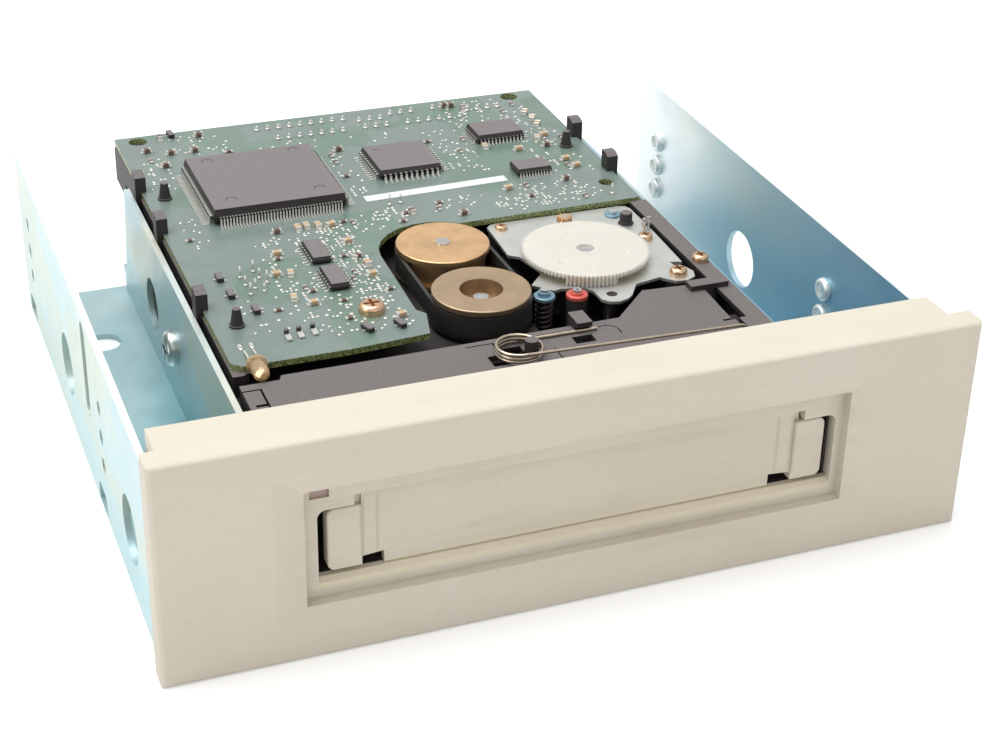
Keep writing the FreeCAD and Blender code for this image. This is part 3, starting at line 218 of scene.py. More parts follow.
def stamp(name, template, spots, material, body=FRAME_BODY):
    """Copies of a template mesh at (x, d, z, turn in degrees, scale) spots, by geometry nodes."""
    source = new_object(name + "_template", template)
    cloud = bpy.data.meshes.new(name + "_spots")
    cloud.from_pydata([at(s[0], s[1], s[2]) for s in spots], [], [])
    turn = cloud.attributes.new("turn", "FLOAT_VECTOR", "POINT")
    size = cloud.attributes.new("size", "FLOAT_VECTOR", "POINT")
    for i, s in enumerate(spots):
        turn.data[i].vector = (0, 0, math.radians(s[3] if len(s) > 3 else 0))
        scale = s[4] if len(s) > 4 else 1.0
        size.data[i].vector = scale if isinstance(scale, tuple) else (scale, scale, scale)
    host = new_object(name + "_host", cloud)
    group = bpy.data.node_groups.new(name, "GeometryNodeTree")
    group.interface.new_socket("Geometry", in_out="INPUT", socket_type="NodeSocketGeometry")
    group.interface.new_socket("Geometry", in_out="OUTPUT", socket_type="NodeSocketGeometry")
    n = {k: group.nodes.new(v) for k, v in {
        "start": "NodeGroupInput", "points": "GeometryNodeMeshToPoints",
        "put": "GeometryNodeInstanceOnPoints",
        "info": "GeometryNodeObjectInfo", "turn": "GeometryNodeInputNamedAttribute",
        "size": "GeometryNodeInputNamedAttribute", "real": "GeometryNodeRealizeInstances",
        "paint": "GeometryNodeSetMaterial", "end": "NodeGroupOutput"}.items()}
    for key in ("turn", "size"):
        n[key].data_type = "FLOAT_VECTOR"
        n[key].inputs["Name"].default_value = key
    n["info"].inputs["Object"].default_value = source
    n["paint"].inputs["Material"].default_value = material
    for a, b in ((n["start"].outputs[0], n["points"].inputs["Mesh"]),
                 (n["points"].outputs[0], n["put"].inputs["Points"]),
                 (n["info"].outputs["Geometry"], n["put"].inputs["Instance"]),
                 (n["turn"].outputs["Attribute"], n["put"].inputs["Rotation"]),
                 (n["size"].outputs["Attribute"], n["put"].inputs["Scale"]),
                 (n["put"].outputs[0], n["real"].inputs[0]), (n["real"].outputs[0], n["paint"].inputs[0]),
                 (n["paint"].outputs[0], n["end"].inputs[0])):
        group.links.new(a, b)
    host.modifiers.new("copies", "NODES").node_group = group
    graph = bpy.context.evaluated_depsgraph_get()
    mesh = bpy.data.meshes.new_from_object(host.evaluated_get(graph))
    bpy.data.objects.remove(host)
    bpy.data.objects.remove(source)
    return finish_piece(new_object(name, mesh), material, body)


# ------------------------------------------------------------------ settings
def tint(name, text, words):
    return bpy.props.FloatVectorProperty(
        name=name, description=words, default=colour(text), size=4, min=0, max=1, subtype="COLOR")


class DriveLooks(bpy.types.PropertyGroup):
    beige: tint("Bezel", "#CFC8BA", "Aged bezel plastic")
    # This colour is the handling grime, and also the painted shade at the edges of the door's steps beside
    # the tabs.
    beige_grime_and_shade: tint("Grime", "#A2957A", "Handling grime on the bezel")
    zinc: tint("Zinc", "#ABCCD6", "Bluish plating on the brackets")
    zinc_warm: tint("Zinc, warm", "#D5D9CC", "Yellowish cast of the plating")
    mask: tint("Solder mask", "#5F7668", "Board away from copper")
    mask_copper: tint("Solder mask on copper", "#6D7B76", "Board over copper areas")
    grime: bpy.props.FloatProperty(
        name="Grime", description="How dirty the bezel is", default=0.5, min=0, max=1, subtype="FACTOR")


class DriveDetail(bpy.types.PropertyGroup):
    seed: bpy.props.IntProperty(
        name="Seed", description="Seed of the board's scattered pads", default=7, min=0)
    pad_radius: bpy.props.FloatProperty(
        name="Pad", description="Radius of a plated through pad", default=0.00038, min=0.0001, max=0.002,
        unit="LENGTH", subtype="DISTANCE")


# ------------------------------------------------------------------ materials
def plastic_beige(looks):
    n = Nodes("bezel_plastic")
    x, yy, z = n.axes()
    tone = n.ramp(n.noise(35.0, 5.0), [(0.35, looks.beige), (0.7, colour("#CBC3B2"))])
    fine = n.noise(900.0, 3.0)
    tone = n.mix(n.times(n.step(fine, 0.6, 0.75), 0.10), tone, colour("#8A8272"))
    # handling grime on the front, round the window
    front = n.step(yy, -0.0716, -0.0745)
    around = n.times(n.window(x, -0.049, 0.049, 0.006), n.window(z, 0.010, 0.031, 0.004), front)
    stretched = n.add("Mapping", {"Vector": n.coords, "Scale": (0.35, 1.0, 2.2)}).outputs[0]
    smear = n.noise(60.0, 6.0, 0.7, stretched)
    dirt = n.math("MULTIPLY", n.times(around, n.step(smear, 0.42, 0.72)), looks.grime, True)
    tone = n.mix(n.times(dirt, 0.55), tone, looks.beige_grime_and_shade)
    # painted shade along the edges of the door's small steps beside the tabs, in the grime colour and
    # broken up by the smear noise
    across = n.math("ABSOLUTE", n.math("SUBTRACT", x, 0.0006))
    step_shade_lines = n.math("MAXIMUM", n.window(across, 0.0366, 0.0369, 0.0003),
                   n.window(across, 0.0393, 0.0398, 0.0004))
    step_shade_lines = n.times(step_shade_lines, n.window(z, 0.0165, 0.0265, 0.001), front)
    tone = n.mix(n.times(step_shade_lines, n.times(smear, 0.75)), tone, looks.beige_grime_and_shade)
    # painted light: the recessed ledge under the door is lightened where it would lie in shade
    sill_painted_light = n.times(n.window(z, 0.0118, 0.0136, 0.0007), n.window(x, -0.046, 0.046, 0.003),
                   n.step(yy, -0.0768, -0.0764))
    tone = n.mix(n.times(sill_painted_light, 0.5), tone, colour("#E0D5B8"))
    # painted shade: upright faces take a darker copy of the tone, a fifth of the way to #8E8676
    tone = n.mix(n.upward(), n.mix(0.20, tone, colour("#8E8676")), tone)
    n.base(Base_Color=tone, Roughness=0.58, Specular_IOR_Level=0.35)
    return n.bump(n.noise(2600.0, 2.0), 0.22, 0.00012).mat


def plastic_dark(name, text, rough=0.55, grain_strength=0.35, shade=0.2, deep=0.0284):
    """Dark moulding with painted light and shade: shade darkens upright faces and all below the height
    deep, in metres, and faces that look up or down above it keep the lighter tone as a painted sheen.
    """
    n = Nodes(name)
    tone = n.ramp(n.noise(1500.0, 3.0, 0.6), [(0.35, darker(text, 0.82)), (0.65, colour(text))])
    tone = n.mix(n.times(n.noise(60.0, 4.0), 0.18), tone, grey(0.16))
    # painted light and shade: the lit mask keeps the lighter tone as a painted sheen, all else takes the
    # painted shade
    lit = n.times(n.upward(), n.step(n.axes()[2], deep - 0.0006, deep))
    tone = n.mix(lit, darker(text, shade), tone)
    n.base(Base_Color=tone, Roughness=rough, Specular_IOR_Level=0.4)
    return n.bump(n.noise(2200.0, 2.0), grain_strength, 0.00012).mat


def plated_sheet(looks):
    n = Nodes("zinc_sheet")
    x, yy, z = n.axes()
    streak = n.add("Mapping", {"Vector": n.coords, "Scale": (1.0, 0.45, 1.3),
                               "Rotation": (0.5, 0.2, 0.3)}).outputs[0]
    bands = n.ramp(n.noise(14.0, 3.0, 0.55, streak), [
        (0.26, colour("#8DB9C8")), (0.42, looks.zinc), (0.54, colour("#C3D6D4")),
        (0.62, looks.zinc_warm), (0.70, colour("#A6C6D3"))])
    cloud = n.noise(120.0, 5.0, 0.65)
    tone = n.mix(n.times(n.step(cloud, 0.4, 0.75), 0.22), bands, colour("#DDE6E6"))
    # the left bracket: a painted highlight on the top rim of its inner wall, and more yellow in the plating
    inner_rim_highlight = n.times(n.window(x, -0.0525, -0.0500, 0.0001), n.step(z, 0.02815, 0.0282))
    tone = n.mix(inner_rim_highlight, tone, colour("#F2F4F2"))
    sheen = n.ramp(n.noise(26.0, 3.0, 0.5, streak), [
        (0.32, colour("#83BBC0")), (0.46, colour("#B4CACA")), (0.56, colour("#C0C2A9")),
        (0.68, colour("#9FC2CF"))])
    tone = n.mix(n.times(n.step(x, -0.0440, -0.0445), 0.60), tone, sheen)
    # the right bracket: bluer to the front, paler to the rear
    blue = n.times(n.step(yy, 0.045, -0.055), n.step(x, 0.0440, 0.0445))
    tone = n.mix(n.times(blue, 0.80), tone, colour("#7AB0CC"))
    pale = n.times(n.step(yy, -0.005, 0.070), n.step(x, 0.0700, 0.0705))
    tone = n.mix(n.times(pale, 0.85), tone, colour("#F8FDFE"))
    # top edges and collars catch the light
    tone = n.mix(n.step(z, 0.03675, 0.03685), tone, colour("#F4FAFA"))
    collar = n.times(n.window(x, 0.0680, 0.07165, 0.0001), n.step(z, 0.0035, 0.0040))
    tone = n.mix(collar, tone, colour("#EDEFEC"))
    rough = n.ramp(cloud, [(0.3, grey(0.34)), (0.8, grey(0.52))])
    n.base(Base_Color=tone, Metallic=0.62, Roughness=rough)
    return n.bump(n.noise(400.0, 3.0), 0.05, 0.0002).mat


def metal(name, text, rough, grain=0.05, metallic=1.0, scale=900.0):
    n = Nodes(name)
    tone = n.ramp(n.noise(scale, 3.0), [(0.3, darker(text, 0.86)), (0.7, colour(text))])
    n.base(Base_Color=tone, Metallic=metallic, Roughness=rough)
    return n.bump(n.noise(scale, 2.0), grain, 0.00015).mat


def turned_brass(name, text, centre, rough=0.34, dark=0.72):
    """Brass with the fine rings of a lathe about an upright axis."""
    n = Nodes(name)
    local = n.add("Mapping", {"Vector": n.coords, "Location": (-centre.x, -centre.y, 0)}).outputs[0]
    x, yy = n.add("SeparateXYZ", {0: local}).outputs[:2]
    rings = n.add("TexNoise", {"W": n.distance(x, yy), "Scale": 4200.0, "Detail": 3.0},
                  noise_dimensions="1D").outputs["Fac"]
    tone = n.ramp(n.noise(160.0, 5.0, 0.6), [(0.3, darker(text, dark)), (0.6, colour(text))])
    tone = n.mix(n.times(rings, 0.16), tone, grey(0.42))
    n.base(Base_Color=tone, Metallic=0.9, Roughness=rough)
    return n.bump(rings, 0.10, 0.00012).mat


def board_material(looks):
    n = Nodes("board")
    flat = n.add("Mapping", {"Vector": n.coords, "Scale": (1.0, 1.0, 0.0)}).outputs[0]
    cells = n.add("TexVoronoi", {"Vector": flat, "Scale": 55.0}, distance="CHEBYCHEV").outputs["Color"]
    pour = n.step(n.add("SeparateColor", {0: cells}).outputs[0], 0.30, 0.34)
    tone = n.mix(pour, looks.mask, looks.mask_copper)
    lanes = []
    for scale, turn in ((2300.0, 0.0), (2100.0, math.pi / 2), (2700.0, math.pi / 4)):
        turned = n.add("Mapping", {"Vector": n.coords, "Rotation": (0, 0, turn)}).outputs[0]
        wave = n.add("TexWave", {"Vector": turned, "Scale": scale / 6.2832, "Distortion": 0.0},
                     bands_direction="X").outputs["Fac"]
        where = n.add("TexVoronoi", {"Vector": turned, "Scale": 90.0 + 40 * len(lanes)},
                      distance="MANHATTAN").outputs["Color"]
        gate = n.step(n.add("SeparateColor", {0: where}).outputs[len(lanes)], 0.74, 0.78)
        lanes.append(n.times(gate, n.step(wave, 0.55, 0.7)))
    trace = n.math("MAXIMUM", n.math("MAXIMUM", lanes[0], lanes[1]), lanes[2])
    tone = n.mix(n.times(trace, 0.24), tone, colour("#8A9A90"))
    tone = n.mix(n.times(n.noise(45.0, 4.0), 0.18), tone, colour("#7C8C86"))
    rim = n.ramp(n.noise(3600.0, 2.0), [(0.42, colour("#3A4F30")), (0.60, colour("#A6AC70"))])
    tone = n.mix(n.upward(), rim, tone)
    n.base(Base_Color=tone, Roughness=0.30, Specular_IOR_Level=0.5, Coat_Weight=0.25, Coat_Roughness=0.2)
    height = n.math("ADD", n.times(trace, 0.6), n.times(n.noise(700.0, 3.0), 0.5))
    return n.bump(height, 0.25, 0.0001).mat


def chip_material(marks):
    """Moulded chip; marks are (x, d, radius) ejector rings in its top, drawn as painted shade on their rear
    half.
    """
    n = Nodes("chip_epoxy")
    x, yy = n.axes()[:2]
    tone = n.ramp(n.noise(1200.0, 3.0), [(0.3, colour("#6E6767")), (0.7, colour("#756F6F"))])
    for mark_x, mark_d, radius in marks:
        centre = at(mark_x, mark_d, 0)
        dx, dy = n.math("SUBTRACT", x, centre.x), n.math("SUBTRACT", yy, centre.y)
        ring = n.window(n.distance(dx, dy), (radius - RING_WIDTH) / 1000, radius / 1000, 0.00012)
        # painted shade: the rear half of each ejector ring is darkened towards #2B2727
        shade = n.times(ring, n.times(n.step(dy, -0.0006, 0.0006), 0.85))
        tone = n.mix(shade, tone, colour("#2B2727"))
    # painted light and shade: upright sides take the dark #231E1E, faces that look up or down keep the
    # lighter grey
    tone = n.mix(n.upward(), colour("#231E1E"), tone)
    n.base(Base_Color=tone, Roughness=0.42, Specular_IOR_Level=0.5)
    return n.bump(n.noise(2500.0, 2.0), 0.2, 0.0001).mat


def nylon():
    n = Nodes("nylon")
    tone = n.mix(n.times(n.noise(200.0, 3.0), 0.3), colour("#CDC9BF"), colour("#C2BDB0"))
    n.base(Base_Color=tone, Roughness=0.42, Subsurface_Weight=0.7, Subsurface_Radius=(1.0, 0.9, 0.75),
           Subsurface_Scale=0.0025)
    return n.mat


def clear_epoxy(name, text, rough, through):
    n = Nodes(name)
    n.base(Base_Color=colour(text), Roughness=rough, Transmission_Weight=through, IOR=1.5)
    return n.mat


def plain(name, text, rough):
    return Nodes(name).base(Base_Color=colour(text), Roughness=rough).mat


MATERIALS = {}
METALS = {  # slot: colour, roughness, then where not the usual: grain, metallic, noise scale
    "plated_screw": ("#D3D6D3", 0.28),
    "copper_screw": ("#E3BE9C", 0.3, 0.08),
    "tinned_wire": ("#DFDED7", 0.3, 0.04, 0.6),
    "spring_wire": ("#C9BBA8", 0.26, 0.03),
    "black_wire": ("#4A4240", 0.32, 0.02, 0.7),
    "steel": ("#DEDEDE", 0.2, 0.03),
    "plate_steel": ("#CED0CB", 0.42, 0.06, 0.75, 250.0),
    "motor_steel": ("#A9A9A9", 0.35),
    "bronze": ("#A2754B", 0.4),
    "blue_lacquer": ("#86A8B8", 0.35, 0.05, 0.55),
    "red_lacquer": ("#D9685C", 0.35, 0.05, 0.35),
    "head_metal": ("#B9B9BC", 0.18, 0.02),
}
PLAINS = {  # slot: colour, roughness
    "label_film": ("#D5D9D8", 0.5),
    "belt_rubber": ("#2B2A28", 0.5),
    "roller_rubber": ("#242222", 0.6),
    "cap_tan": ("#B79A78", 0.5),
    "cap_brown": ("#6C554A", 0.5),
}
RING_WIDTH = 0.22
EJECTOR_RINGS = (  # x, d, radius
    (-34.3, 130.0, 1.3), (-15.2, 130.6, 1.3), (-34.0, 109.6, 1.3), (-15.2, 109.6, 1.3), (2.6, 127.6, 0.7))


def make_materials(looks):
    m = MATERIALS
    m["bezel_plastic"] = m["face_plastic"] = plastic_beige(looks)
    m["zinc_sheet"] = plated_sheet(looks)
    m["dark_plastic"] = plastic_dark("dark_plastic", "#6C6564")
    m["pulley_black"] = plastic_dark("pulley_black", "#2A2727", 0.35, 0.1, 0.5, 0.02)
    m["lens_plastic"] = clear_epoxy("lens_plastic", "#B79C92", 0.35, 0.35)
    m["lamp_epoxy"] = clear_epoxy("lamp_epoxy", "#F6D9AE", 0.06, 0.72)
    m["board"] = board_material(looks)
    m["chip_epoxy"] = chip_material(EJECTOR_RINGS)
    m["brass"] = turned_brass("brass", "#F0C48F", at(*MOTOR, 0))
    m["brass_worn"] = turned_brass("brass_worn", "#BEA382", at(*CAPSTAN, 0), 0.38, 0.8)
    m["nylon"] = nylon()
    for name, settings in METALS.items():
        m[name] = metal(name, *settings)
    for name, settings in PLAINS.items():
        m[name] = plain(name, *settings)


# ------------------------------------------------------------------ board detail
LEAD_KNEE = 0.36             # where a lead turns down, as a share of its reach


def gull_wing(width, reach, height, thick=0.16):
    """A lead that leaves a chip at height, drops and rests its foot on the board; +X points away."""
    half, knee = width / 2, LEAD_KNEE * reach
    return [block(-0.3, knee, -half, half, height - thick / 2, height + thick / 2),
            block(knee - thick, knee, -half, half, 0.05, height + thick / 2),
            block(knee - thick, reach, -half, half, 0.0, thick)]


def chip_leads(name, x, d, half_x, half_d, count_x, count_d, pitch, template):
    spots = []
    for side, turn in ((1, 0), (-1, 180)):
        for i in range(count_d):
            spots.append((x + side * half_x, d + (i - (count_d - 1) / 2) * pitch, BOARD_TOP, turn))
    for side, turn in ((1, 90), (-1, 270)):
        for i in range(count_x):
            spots.append((x + (i - (count_x - 1) / 2) * pitch, d + side * half_d, BOARD_TOP, turn))
    return stamp(name, template, spots, MATERIALS["tinned_wire"])


LEADED = (  # name, centre x, d, half sizes, leads along x and d sides, pitch, lead width, reach, height
    ("controller_leads", -24.8, 119.3, 14.0, 14.0, 40, 40, 0.65, 0.32, 2.2, 1.85),
    ("processor_leads", 6.9, 123.5, 7.0, 7.0, 11, 11, 1.18, 0.46, 2.0, 1.2),
    ("memory_leads", 32.0, 132.3, 5.5, 4.0, 12, 8, 0.86, 0.34, 1.3, 1.1),
    ("shrink_leads", 32.6, 111.6, 4.0, 2.65, 11, 0, 0.68, 0.3, 1.2, 0.9),
    ("driver_leads_a", -22.9, 86.0, 1.95, 4.3, 0, 7, 1.2, 0.42, 1.2, 0.85),
    ("driver_leads_b", -22.7, 74.1, 1.95, 4.3, 0, 7, 1.2, 0.42, 1.2, 0.85),
)
TAN_CAPS = ((-32.7, 79.9, 0), (-30.0, 79.2, 80), (-15.3, 89.8, 10), (-16.4, 98.2, 20), (-19.0, 98.5, 90),
            (-14.5, 79.1, 95), (-15.0, 74.3, 5), (-32.1, 69.2, 80), (-29.1, 66.2, 5), (-30.2, 88.7, 0),
            (27.5, 126.3, 80), (34.2, 123.0, 0), (40.3, 127.3, 75), (42.5, 128.9, 10), (42.1, 114.8, 5),
            (42.9, 110.7, 12), (24.5, 103.9, 8), (-14.9, 56.5, 10), (43.2, 142.5, 60), (43.6, 138.7, 60),
            (43.4, 135.1, 60), (-23.2, 98.7, 90), (-21.3, 99.0, 90))
BROWN_CAPS = ((-27.7, 98.3, 0), (-15.6, 82.4, 40), (1.3, 99.0, 95), (11.2, 94.9, 5), (40.9, 123.1, 0),
              (38.0, 104.7, 8), (26.6, 152.1, 10), (28.1, 151.6, 10), (30.4, 149.0, 80),
              (-4.0, 134.8, 5), (-39.8, 153.0, 90),
              (-31.3, 152.1, 5), (-44.1, 146.6, 10), (-39.3, 144.0, 8), (-34.1, 143.9, 15),
              (-41.8, 137.6, 5))
HEADER_ROWS = (  # first x, d and count of the header's soldered pins
    (-18.1, 151.4, 9), (-14.8, 145.1, 7), (5.4, 149.6, 3), (5.6, 145.3, 3), (13.4, 151.5, 3),
    (15.7, 145.3, 6), (23.8, 151.7, 1), (29.8, 146.0, 1), (31.4, 151.1, 1))
TRANSISTORS = ((-43.5, 81.6, 0), (-43.1, 74.2, 0), (-40.1, 66.7, 0), (-37.2, 154.0, 5), (-22.5, 53.2, 20),
               (-16.3, 53.0, 15))
UPRIGHTS = ((-39.5, 81.2), (-36.5, 83.0), (-36.0, 80.0), (-36.4, 74.5), (-39.3, 73.7), (-39.3, 77.8),
            (-1.9, 104.2), (0.6, 104.5), (44.7, 94.9), (-37.8, 76.0), (-35.1, 77.6))
PAD_FIELDS = (  # x range, d range, how many pads
    (-33.0, -12.8, 60.0, 97.0, 150), (-20.5, -13.2, 62.0, 100.0, 90), (-45.8, -41.2, 96.0, 112.0, 12),
    (-46.5, -41.5, 126.0, 142.0, 26), (-38.0, -26.0, 140.0, 154.0, 26), (16.5, 24.5, 114.0, 139.0, 46),
    (-7.8, -3.5, 109.0, 134.0, 26), (-8.0, 22.0, 97.5, 103.5, 34), (26.0, 45.0, 94.5, 105.0, 60),
    (36.0, 46.5, 108.0, 131.0, 34), (-31.0, -13.0, 50.5, 60.0, 30), (-12.0, 2.0, 93.5, 101.0, 26),
    (24.5, 45.0, 139.0, 154.0, 40), (-20.0, 16.0, 138.0, 143.0, 18), (-44.0, -33.5, 57.0, 72.0, 16),
    (19.0, 31.0, 94.0, 100.0, 24), (37.0, 45.0, 131.0, 146.0, 26))


KEEP_OUT = (  # x, d, radius: board holes, screw and posts, then the motor's recess
    (-45.4, 121.6, 2.4), (-44.8, 62.4, 2.4), (45.1, 121.8, 2.4), (-19.6, 60.1, 3.2), (45.8, 100.9, 2.2),
    (-44.7, 153, 2.6), (43.4, 153.4, 2.6), (*MOTOR, 13.2))
CUT_OUT_X, CUT_OUT_D = -12.6, 92.3           # the board is open right of and in front of these
LABEL_X, LABEL_D = (-7, 27.5), (106.3, 111.6)
LEAD_ROOM = 0.8                              # share of a lead's reach that pads keep clear of
PAD_GRID, PAD_JITTER, PAD_GAP = 0.9, 0.06, 0.8
TRIES_PER_PAD = 12
RESISTOR_SHARE = 0.05
# Dark bosses under these board holes stand in as painted shade.
HOLE_SHADE_BOSSES = ((-44.7, 153.0), (43.4, 153.4), (45.8, 100.9))
TEST_PADS = ((-37.1, 55.0), (-34.7, 55.3), (-32.0, 55.6))
KNOB_STEP = 1.2                              # how far behind its pad a test knob stands
HEADER_PITCH, POWER_PITCH = 2.52, 2.5
POWER_X, POWER_D, POWER_PINS = 34.8, 148.2, 4
LAMP_JOINTS = ((-46.3, 54.2), (-44.2, 54.2))


def blocked(x, d):
    """True where a chip, the label, the cut-out or a hole leaves no room for a pad."""
    for _, cx, cd, hx, hd, _, _, _, _, reach, _ in LEADED:
        if abs(x - cx) < hx + reach * LEAD_ROOM and abs(d - cd) < hd + reach * LEAD_ROOM:
            return True
    if LABEL_X[0] < x < LABEL_X[1] and LABEL_D[0] < d < LABEL_D[1]:
        return True
    if x > CUT_OUT_X and d < CUT_OUT_D:
        return True
    return any(math.hypot(x - px, d - pd) < r for px, pd, r in KEEP_OUT)


def add_capacitors():
    body = mesh_from("cap_body", [block(-0.62, 0.62, -0.62, 0.62, 0.05, 1.0, 0.08)])
    ends = mesh_from("cap_ends", [
        block(-1.0, -0.6, -0.65, 0.65, 0.0, 1.04, 0.08), block(0.6, 1.0, -0.65, 0.65, 0.0, 1.04, 0.08),
        block(-1.35, -0.9, -0.6, 0.6, 0.0, 0.25), block(0.9, 1.35, -0.6, 0.6, 0.0, 0.25)])
    tan = [(x, d, BOARD_TOP, t, (1.0, 1.0, 0.9)) for x, d, t in TAN_CAPS]
    brown = [(x, d, BOARD_TOP, t, (0.95, 0.9, 1.0)) for x, d, t in BROWN_CAPS]
    stamp("tan_capacitors", body.copy(), tan, MATERIALS["cap_tan"])
    stamp("brown_capacitors", body, brown, MATERIALS["cap_brown"])
    stamp("capacitor_ends", ends, tan + brown, MATERIALS["tinned_wire"])


def add_transistors():
    body = mesh_from("sot_body", [block(-1.45, 1.45, -0.65, 0.65, 0.1, 1.05, 0.12)])
    legs = mesh_from("sot_legs", [
        block(-1.15, -0.75, -1.2, -0.5, 0.0, 0.3), block(0.75, 1.15, -1.2, -0.5, 0.0, 0.3),
        block(-0.2, 0.2, 0.5, 1.2, 0.0, 0.3)])
    spots = [(x, d, BOARD_TOP, t + 90, 1.0) for x, d, t in TRANSISTORS]
    stamp("transistors", body, spots, MATERIALS["chip_epoxy"])
    stamp("transistor_legs", legs, spots, MATERIALS["tinned_wire"])


def on_grid(rng, low, high):
    """A draw between low and high, put on the pad grid and then moved off it a little."""
    return round(rng.uniform(low, high) / PAD_GRID) * PAD_GRID + rng.uniform(-PAD_JITTER, PAD_JITTER)


def scatter_pads(rng):
    """Spots of the through pads, and of the resistors that take the place of a few."""
    pads, chips = [], []
    for x0, x1, d0, d1, count in PAD_FIELDS:
        tries = made = 0
        while made < count and tries < count * TRIES_PER_PAD:
            tries += 1
            x, d = on_grid(rng, x0, x1), on_grid(rng, d0, d1)
            if blocked(x, d) or any(abs(x - p[0]) < PAD_GAP and abs(d - p[1]) < PAD_GAP for p in pads):
                continue
            if rng.random() < RESISTOR_SHARE:
                chips.append((x, d, BOARD_TOP, rng.choice((0, 90)), 1.0))
            pads.append((x, d, BOARD_TOP, 0, (rng.uniform(0.8, 1.3),) * 2 + (1.0,)))
            made += 1
    spent = {(round(c[0], 2), round(c[1], 2)) for c in chips}
    return [p for p in pads if (round(p[0], 2), round(p[1], 2)) not in spent], chips


def add_pads(rng, radius):
    small = mesh_from("resistor", [block(-0.45, 0.45, -0.4, 0.4, 0.05, 0.5, 0.05)])
    small_ends = mesh_from("resistor_ends", [
        block(-0.95, -0.4, -0.42, 0.42, 0.0, 0.45, 0.1), block(0.4, 0.95, -0.42, 0.42, 0.0, 0.45, 0.1)])
    pads, chips = scatter_pads(rng)
    dot = mesh_from("pad", [post(0, 0, 0.0, 0.10, radius, radius * 0.72, 10)], True)
    stamp("through_pads", dot, pads, MATERIALS["tinned_wire"])
    stamp("resistors", small, chips, MATERIALS["cap_brown"])
    stamp("resistor_ends", small_ends, chips, MATERIALS["tinned_wire"])


def add_hole_shade_bosses():
    """Dark moulded bosses under the board, seen through its holes; they stand in as painted shade under the
    holes.
    """
    boss = mesh_from("hole_shade_boss", [post(0, 0, -7.0, -1.25, 3.1, 3.1, 24)], True)
    stamp("board_bosses", boss, [(x, d, BOARD_TOP) for x, d in HOLE_SHADE_BOSSES], MATERIALS["dark_plastic"])


def add_solder(rng):
    joint = mesh_from("solder_joint", [
        post(0, 0, 0.0, 0.45, 0.72, 0.42, 14), post(0, 0, 0.4, 1.05, 0.36, 0.24, 8)], True)
    header = [(x0 + i * HEADER_PITCH, d, BOARD_TOP, 0, 1.0) for x0, d, count in HEADER_ROWS
              for i in range(count)]
    power = [(POWER_X + (i - (POWER_PINS - 1) / 2) * POWER_PITCH, POWER_D, BOARD_TOP, 0, 1.1)
             for i in range(POWER_PINS)]
    lamp = [(x, d, BOARD_TOP, 0, (0.8, 2.2, 0.5)) for x, d in LAMP_JOINTS]
    stamp("solder_joints", joint, header + power + lamp, MATERIALS["tinned_wire"])
    pin = mesh_from("clipped_pin", [
        post(0, 0, 0.0, 2.3, 0.24, 0.2, 8), post(0, 0, 0.0, 0.4, 0.6, 0.3, 10)], True)
    stamp("clipped_pins", pin, [(x, d, BOARD_TOP, 0, (1, 1, rng.uniform(0.7, 1.2))) for x, d in UPRIGHTS],
          MATERIALS["tinned_wire"])


def add_test_points():
    pad = mesh_from("test_post", [block(-0.55, 0.55, -1.5, 0.6, 0.0, 0.55, 0.15)])
    stamp("test_pads", pad, [(x, d, BOARD_TOP) for x, d in TEST_PADS], MATERIALS["tinned_wire"])
    knob = mesh_from("test_knob", [post(0, 0, 0.2, 1.2, 0.5, 0.45, 12)], True)
    stamp("test_knobs", knob, [(x, d + KNOB_STEP, BOARD_TOP) for x, d in TEST_PADS],
          MATERIALS["chip_epoxy"])


def board_parts(detail):
    """Everything on the board that the solids leave out; pads and pins draw from one seed in turn."""
    rng = random.Random(detail.seed)
    for name, x, d, hx, hd, nx, nd, pitch, width, reach, height in LEADED:
        template = mesh_from(name + "_lead", gull_wing(width, reach, height))
        chip_leads(name, x, d, hx, hd, nx, nd, pitch, template)
    add_capacitors()
    add_transistors()
    add_pads(rng, detail.pad_radius * 1000)
    add_hole_shade_bosses()
    add_solder(rng)
    add_test_points()


def dress_cad():
    """Gives every CAD node the material of its slot; the capstan's ring is the duller of the two discs."""
    slots = {s["node"]: s["material_slot"] for s in frame["record"]["subparts"]}
    special = {"capstan_ring": "brass_worn"}
    for name, obj in frame["nodes"].items():
        material = MATERIALS[special.get(name, slots[name])]
        if obj.data.materials:
            for i in range(len(obj.data.materials)):
                obj.data.materials[i] = material
        else:
            obj.data.materials.append(material)


# ------------------------------------------------------------------ stage
PAPER_GLOW = 0.13            # what the floor adds for the camera alone
WORLD_STRENGTH = 0.72
LIGHTS = (  # name, place, aim, size, power
    ("top_light", (-0.15, 0.25, 0.95), (0, 0.05, 0), 0.9, 9.0),
    ("left_light", (-0.95, -0.15, 0.55), (0, 0, 0.02), 0.6, 2.2),
    ("front_light", (0.25, -1.2, 0.35), (0, -0.1, 0), 0.8, 1.7))
CAMERA_PLACE = (-115.06, -252.31, 202.39)    # x, d, z
AZIMUTH, ELEVATION, ROLL = -21.90, 29.10, 1.57
SENSOR, LENS = 36.0, 70.72
SHIFT_X, SHIFT_Y = -0.01965, -0.01951


def add_floor():
    floor = new_object("floor", mesh_from("floor", [block(-4000, 4000, -4000, 4000, -20, 0)]))
    paper = Nodes("floor_paper").base(Base_Color=colour("#FBFBFB"), Roughness=0.9, Emission_Color=grey(1.0))
    seen = paper.add("LightPath").outputs["Is Camera Ray"]
    floor.data.materials.append(paper.base(Emission_Strength=paper.times(seen, PAPER_GLOW)).mat)


def add_world(scene):
    world = bpy.data.worlds.new("studio")
    world.use_nodes = True
    background = world.node_tree.nodes["Background"]
    background.inputs["Color"].default_value = grey(1.0)
    background.inputs["Strength"].default_value = WORLD_STRENGTH
    scene.world = world


def add_lights():
    for name, place, aim, size, power in LIGHTS:
        lamp = bpy.data.lights.new(name, "AREA")
        lamp.energy, lamp.size = power, size
        obj = new_object(name, lamp)
        obj.location = place
        obj.rotation_euler = (Vector(aim) - Vector(place)).to_track_quat("-Z", "Y").to_euler()


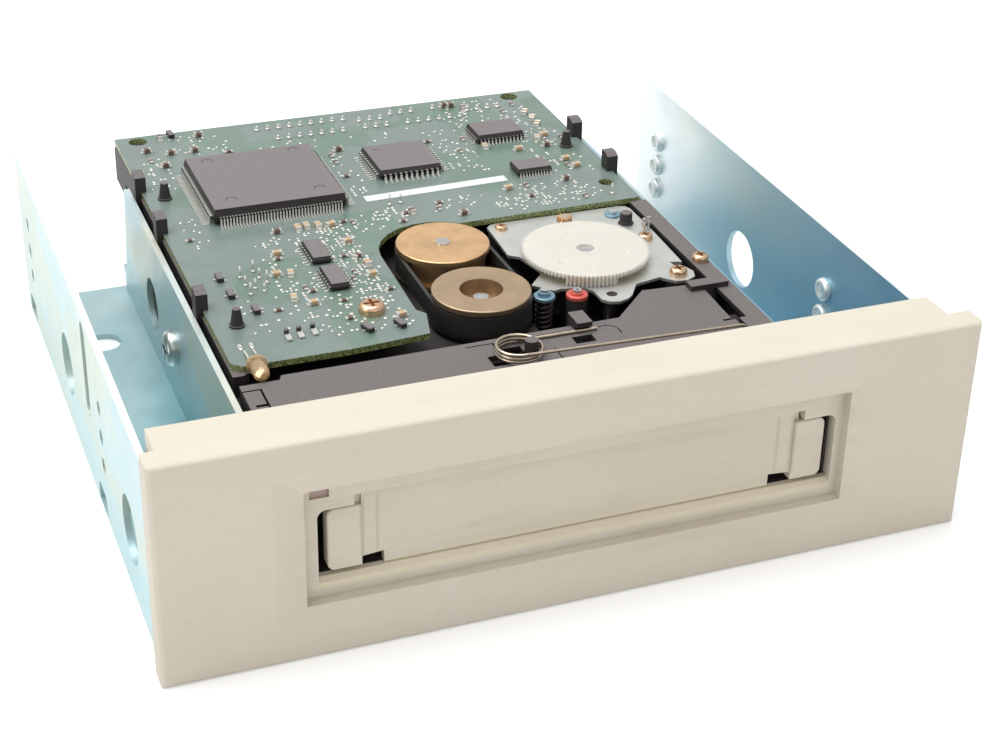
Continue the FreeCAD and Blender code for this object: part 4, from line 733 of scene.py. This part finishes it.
def add_camera(scene):
    camera = bpy.data.cameras.new("camera")
    camera.sensor_width, camera.lens = SENSOR, LENS
    camera.shift_x, camera.shift_y = SHIFT_X, SHIFT_Y
    obj = new_object("camera", camera)
    az, el, roll = math.radians(AZIMUTH), math.radians(ELEVATION), math.radians(ROLL)
    back = Vector((math.sin(az) * math.cos(el), -math.cos(az) * math.cos(el), math.sin(el)))
    right = Vector((0, 0, 1)).cross(back).normalized()
    up = back.cross(right)
    rolled_right = right * math.cos(roll) + up * math.sin(roll)
    rolled_up = up * math.cos(roll) - right * math.sin(roll)
    turn = Matrix((rolled_right, rolled_up, back)).transposed().to_4x4()
    obj.matrix_world = Matrix.Translation(at(*CAMERA_PLACE)) @ turn
    scene.camera = obj


# ------------------------------------------------------------------ operators
class DRIVE_OT_materials(bpy.types.Operator):
    """Make every material and put it on the CAD nodes"""
    bl_idname = "drive.materials"
    bl_label = "Dress the drive"

    def execute(self, context):
        make_materials(context.scene.drive_looks)
        dress_cad()
        return {"FINISHED"}


class DRIVE_OT_board(bpy.types.Operator):
    """Add chip leads, small parts, pads and solder to the board"""
    bl_idname = "drive.board"
    bl_label = "Populate the board"

    def execute(self, context):
        board_parts(context.scene.drive_detail)
        return {"FINISHED"}


class DRIVE_OT_stage(bpy.types.Operator):
    """Add the floor, the lights and the camera"""
    bl_idname = "drive.stage"
    bl_label = "Set the stage"

    def execute(self, context):
        scene = context.scene
        add_floor()
        add_world(scene)
        add_lights()
        add_camera(scene)
        scene.view_settings.view_transform = "Standard"
        return {"FINISHED"}


class DRIVE_PT_panel(bpy.types.Panel):
    """Lists the steps and the settings of the drive"""
    bl_idname = "DRIVE_PT_panel"
    bl_label = "Tape Drive"
    bl_space_type = "VIEW_3D"
    bl_region_type = "UI"
    bl_category = "Tape Drive"

    def draw(self, context):
        for group in (context.scene.drive_looks, context.scene.drive_detail):
            for key in group.__annotations__:
                self.layout.prop(group, key)
        for step in STEPS:
            self.layout.operator(step.bl_idname)


STEPS = (DRIVE_OT_materials, DRIVE_OT_board, DRIVE_OT_stage)
CLASSES = (DriveLooks, DriveDetail) + STEPS + (DRIVE_PT_panel,)


def register():
    for cls in CLASSES:
        bpy.utils.register_class(cls)
    bpy.types.Scene.drive_looks = bpy.props.PointerProperty(type=DriveLooks)
    bpy.types.Scene.drive_detail = bpy.props.PointerProperty(type=DriveDetail)


def unregister():
    del bpy.types.Scene.drive_looks
    del bpy.types.Scene.drive_detail
    for cls in reversed(CLASSES):
        bpy.utils.unregister_class(cls)


def main():
    register()
    bpy.ops.drive.materials()
    bpy.ops.drive.board()
    bpy.ops.drive.stage()


if __name__ == "__main__":
    main()
